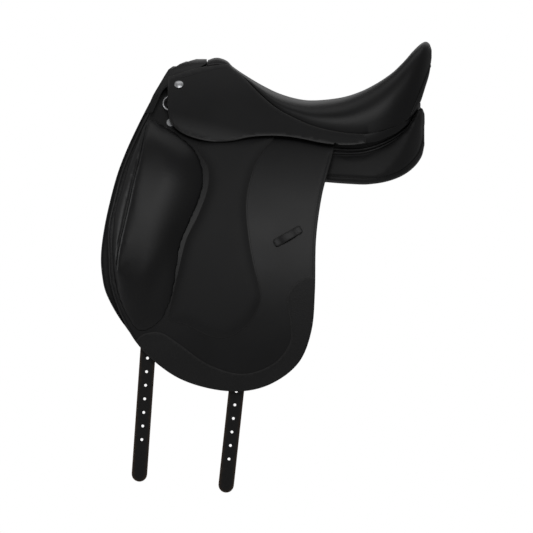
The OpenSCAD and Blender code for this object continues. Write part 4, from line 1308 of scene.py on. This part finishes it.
sweat_row = ordered_inset(sweat_outline, 4, lambda p: p[:, 1] < 40)

STITCH_LIFT = 0.15  # of a thread's middle above the leather
# Each mesh of stitches: its body, and the rows with the leather that each is sewn to
STITCHES = {
    "stitches_flap_left": ("flap", [
        (front_of_flap, flap_left), (rear_of_flap, flap_left), (insert_row, flap_left),
        (lower_seam, flap_left), (keeper_boxes[0], keeper_left), (keeper_boxes[1], keeper_left),
        (trim_row, trim_left), (beside(gusset, 4.2)[4:-4], block_left),
        (beside(gusset, -4.2)[4:-4], block_left)]),
    "stitches_skirt_left": ("skirt", [(beside(skirt_line, 4.2)[1:-9], skirt_left)]),
    "stitches_seat_left": ("root", [(pommel_row, band_left), (seat_row, band_left),
                                    (tail_row, band_left), (sweat_row, sweat_left)]),
}
for name, (body, sewn) in STITCHES.items():
    lines = [draped(row, [own], STITCH_LIFT) for row, own in sewn]
    own = along_lines(name, [line for line in lines if len(line) > 2], stitch_tree,
                      {"Pitch": 3.3 * MM, "Length": 2.4 * MM, "Thickness": 0.9 * MM, "Thread": thread})
    both_sides(own, thread, "smooth_leather", body)

# %% [markdown]
# ## Welts
# A welt is a cord wrapped in a strip of leather and sewn into a seam. It hides the join between two
# skins that swell apart. Each is a round tube along its seam, and under the cantle three of them hold
# the leather that closes the space between the rear band and the panels.

# %% Welts
gusset_welt = draped(gusset[2:-2], [block_left], 0.2)
cantle_seam = draped(smooth([(199, 117), (214, 153), (227, 186), (237, 211)], step=3), [seat, facing], 0.2)
flap_bead = draped(ordered_inset(flap_outline, 2.4, lambda p: (p[:, 1] < 140) & (p[:, 1] > -288)
                                 & (p[:, 0] < -200)), [flap_left], 0.4)
front_bead = on_side(ordered_inset(sweat_outline, 1.2, lambda p: (p[:, 1] < 150) & (p[:, 1] > -262)
                                   & (p[:, 0] < -240)), 3.2)
panel_cord = draped(panel_seam[:-6], [panel_left], 0.3)
WELTS = [("block", gusset_welt, 1.2, "flap"), ("front", front_bead, 1.5, "root"),
         ("cantle_seam", cantle_seam, 1.2, "root"), ("flap", flap_bead, 1.2, "flap"),
         ("panel", panel_cord, 1.0, "root")]
for label, line, radius, body in WELTS:
    own = along_lines(f"{label}_welt_left", [line], welt_tree, {"Radius": radius * MM, "Leather": calf})
    both_sides(own, calf, "smooth_leather", body)

WELT_HEIGHTS = smooth([(30, 55), (60, 55.5), (105, 54.5), (139, 62), (173, 79), (195, 97), (208, 115),
                       (215, 130)], step=2)
WELT_HALF = float(side_at(62, 9))
for number, drop in enumerate((0.0, 7.0, 13.5)):
    plan, out = round_back(40, WELT_HALF - 0.2 * drop, BAND_REACH - 2 - 0.1 * drop, BAND_POWER)
    heights = np.interp(plan[:, 0], *WELT_HEIGHTS.T) - drop * np.interp(plan[:, 0], (60, 205), (1, 0.62))
    line = np.c_[plan, heights]
    radius = 2.5 if number < 2 else 1.3
    own = along_lines(f"cantle_welt_{number + 1}", [line], welt_tree,
                      {"Radius": radius * MM, "Leather": calf})
    dress(own, calf, "smooth_leather", "root")
plan, out = round_back(36, WELT_HALF - 2.6, BAND_REACH - 5.5, BAND_POWER)
rings = []
for (x, y), (nx, ny) in zip(plan, out):
    level = float(np.interp(x, *WELT_HEIGHTS.T))
    top = float(np.interp(x, (36, 119, 165, 195, 212), (66, 90, 102, 124, 152)))
    section = rounded_bar(level - 20, top, -1.2, 1.2, 1.0)
    rings.append([(x + v * nx, y + v * ny, u) for u, v in section])
dress(swept("cantle_gusset", rings), soft_calf, "soft_leather", "root")
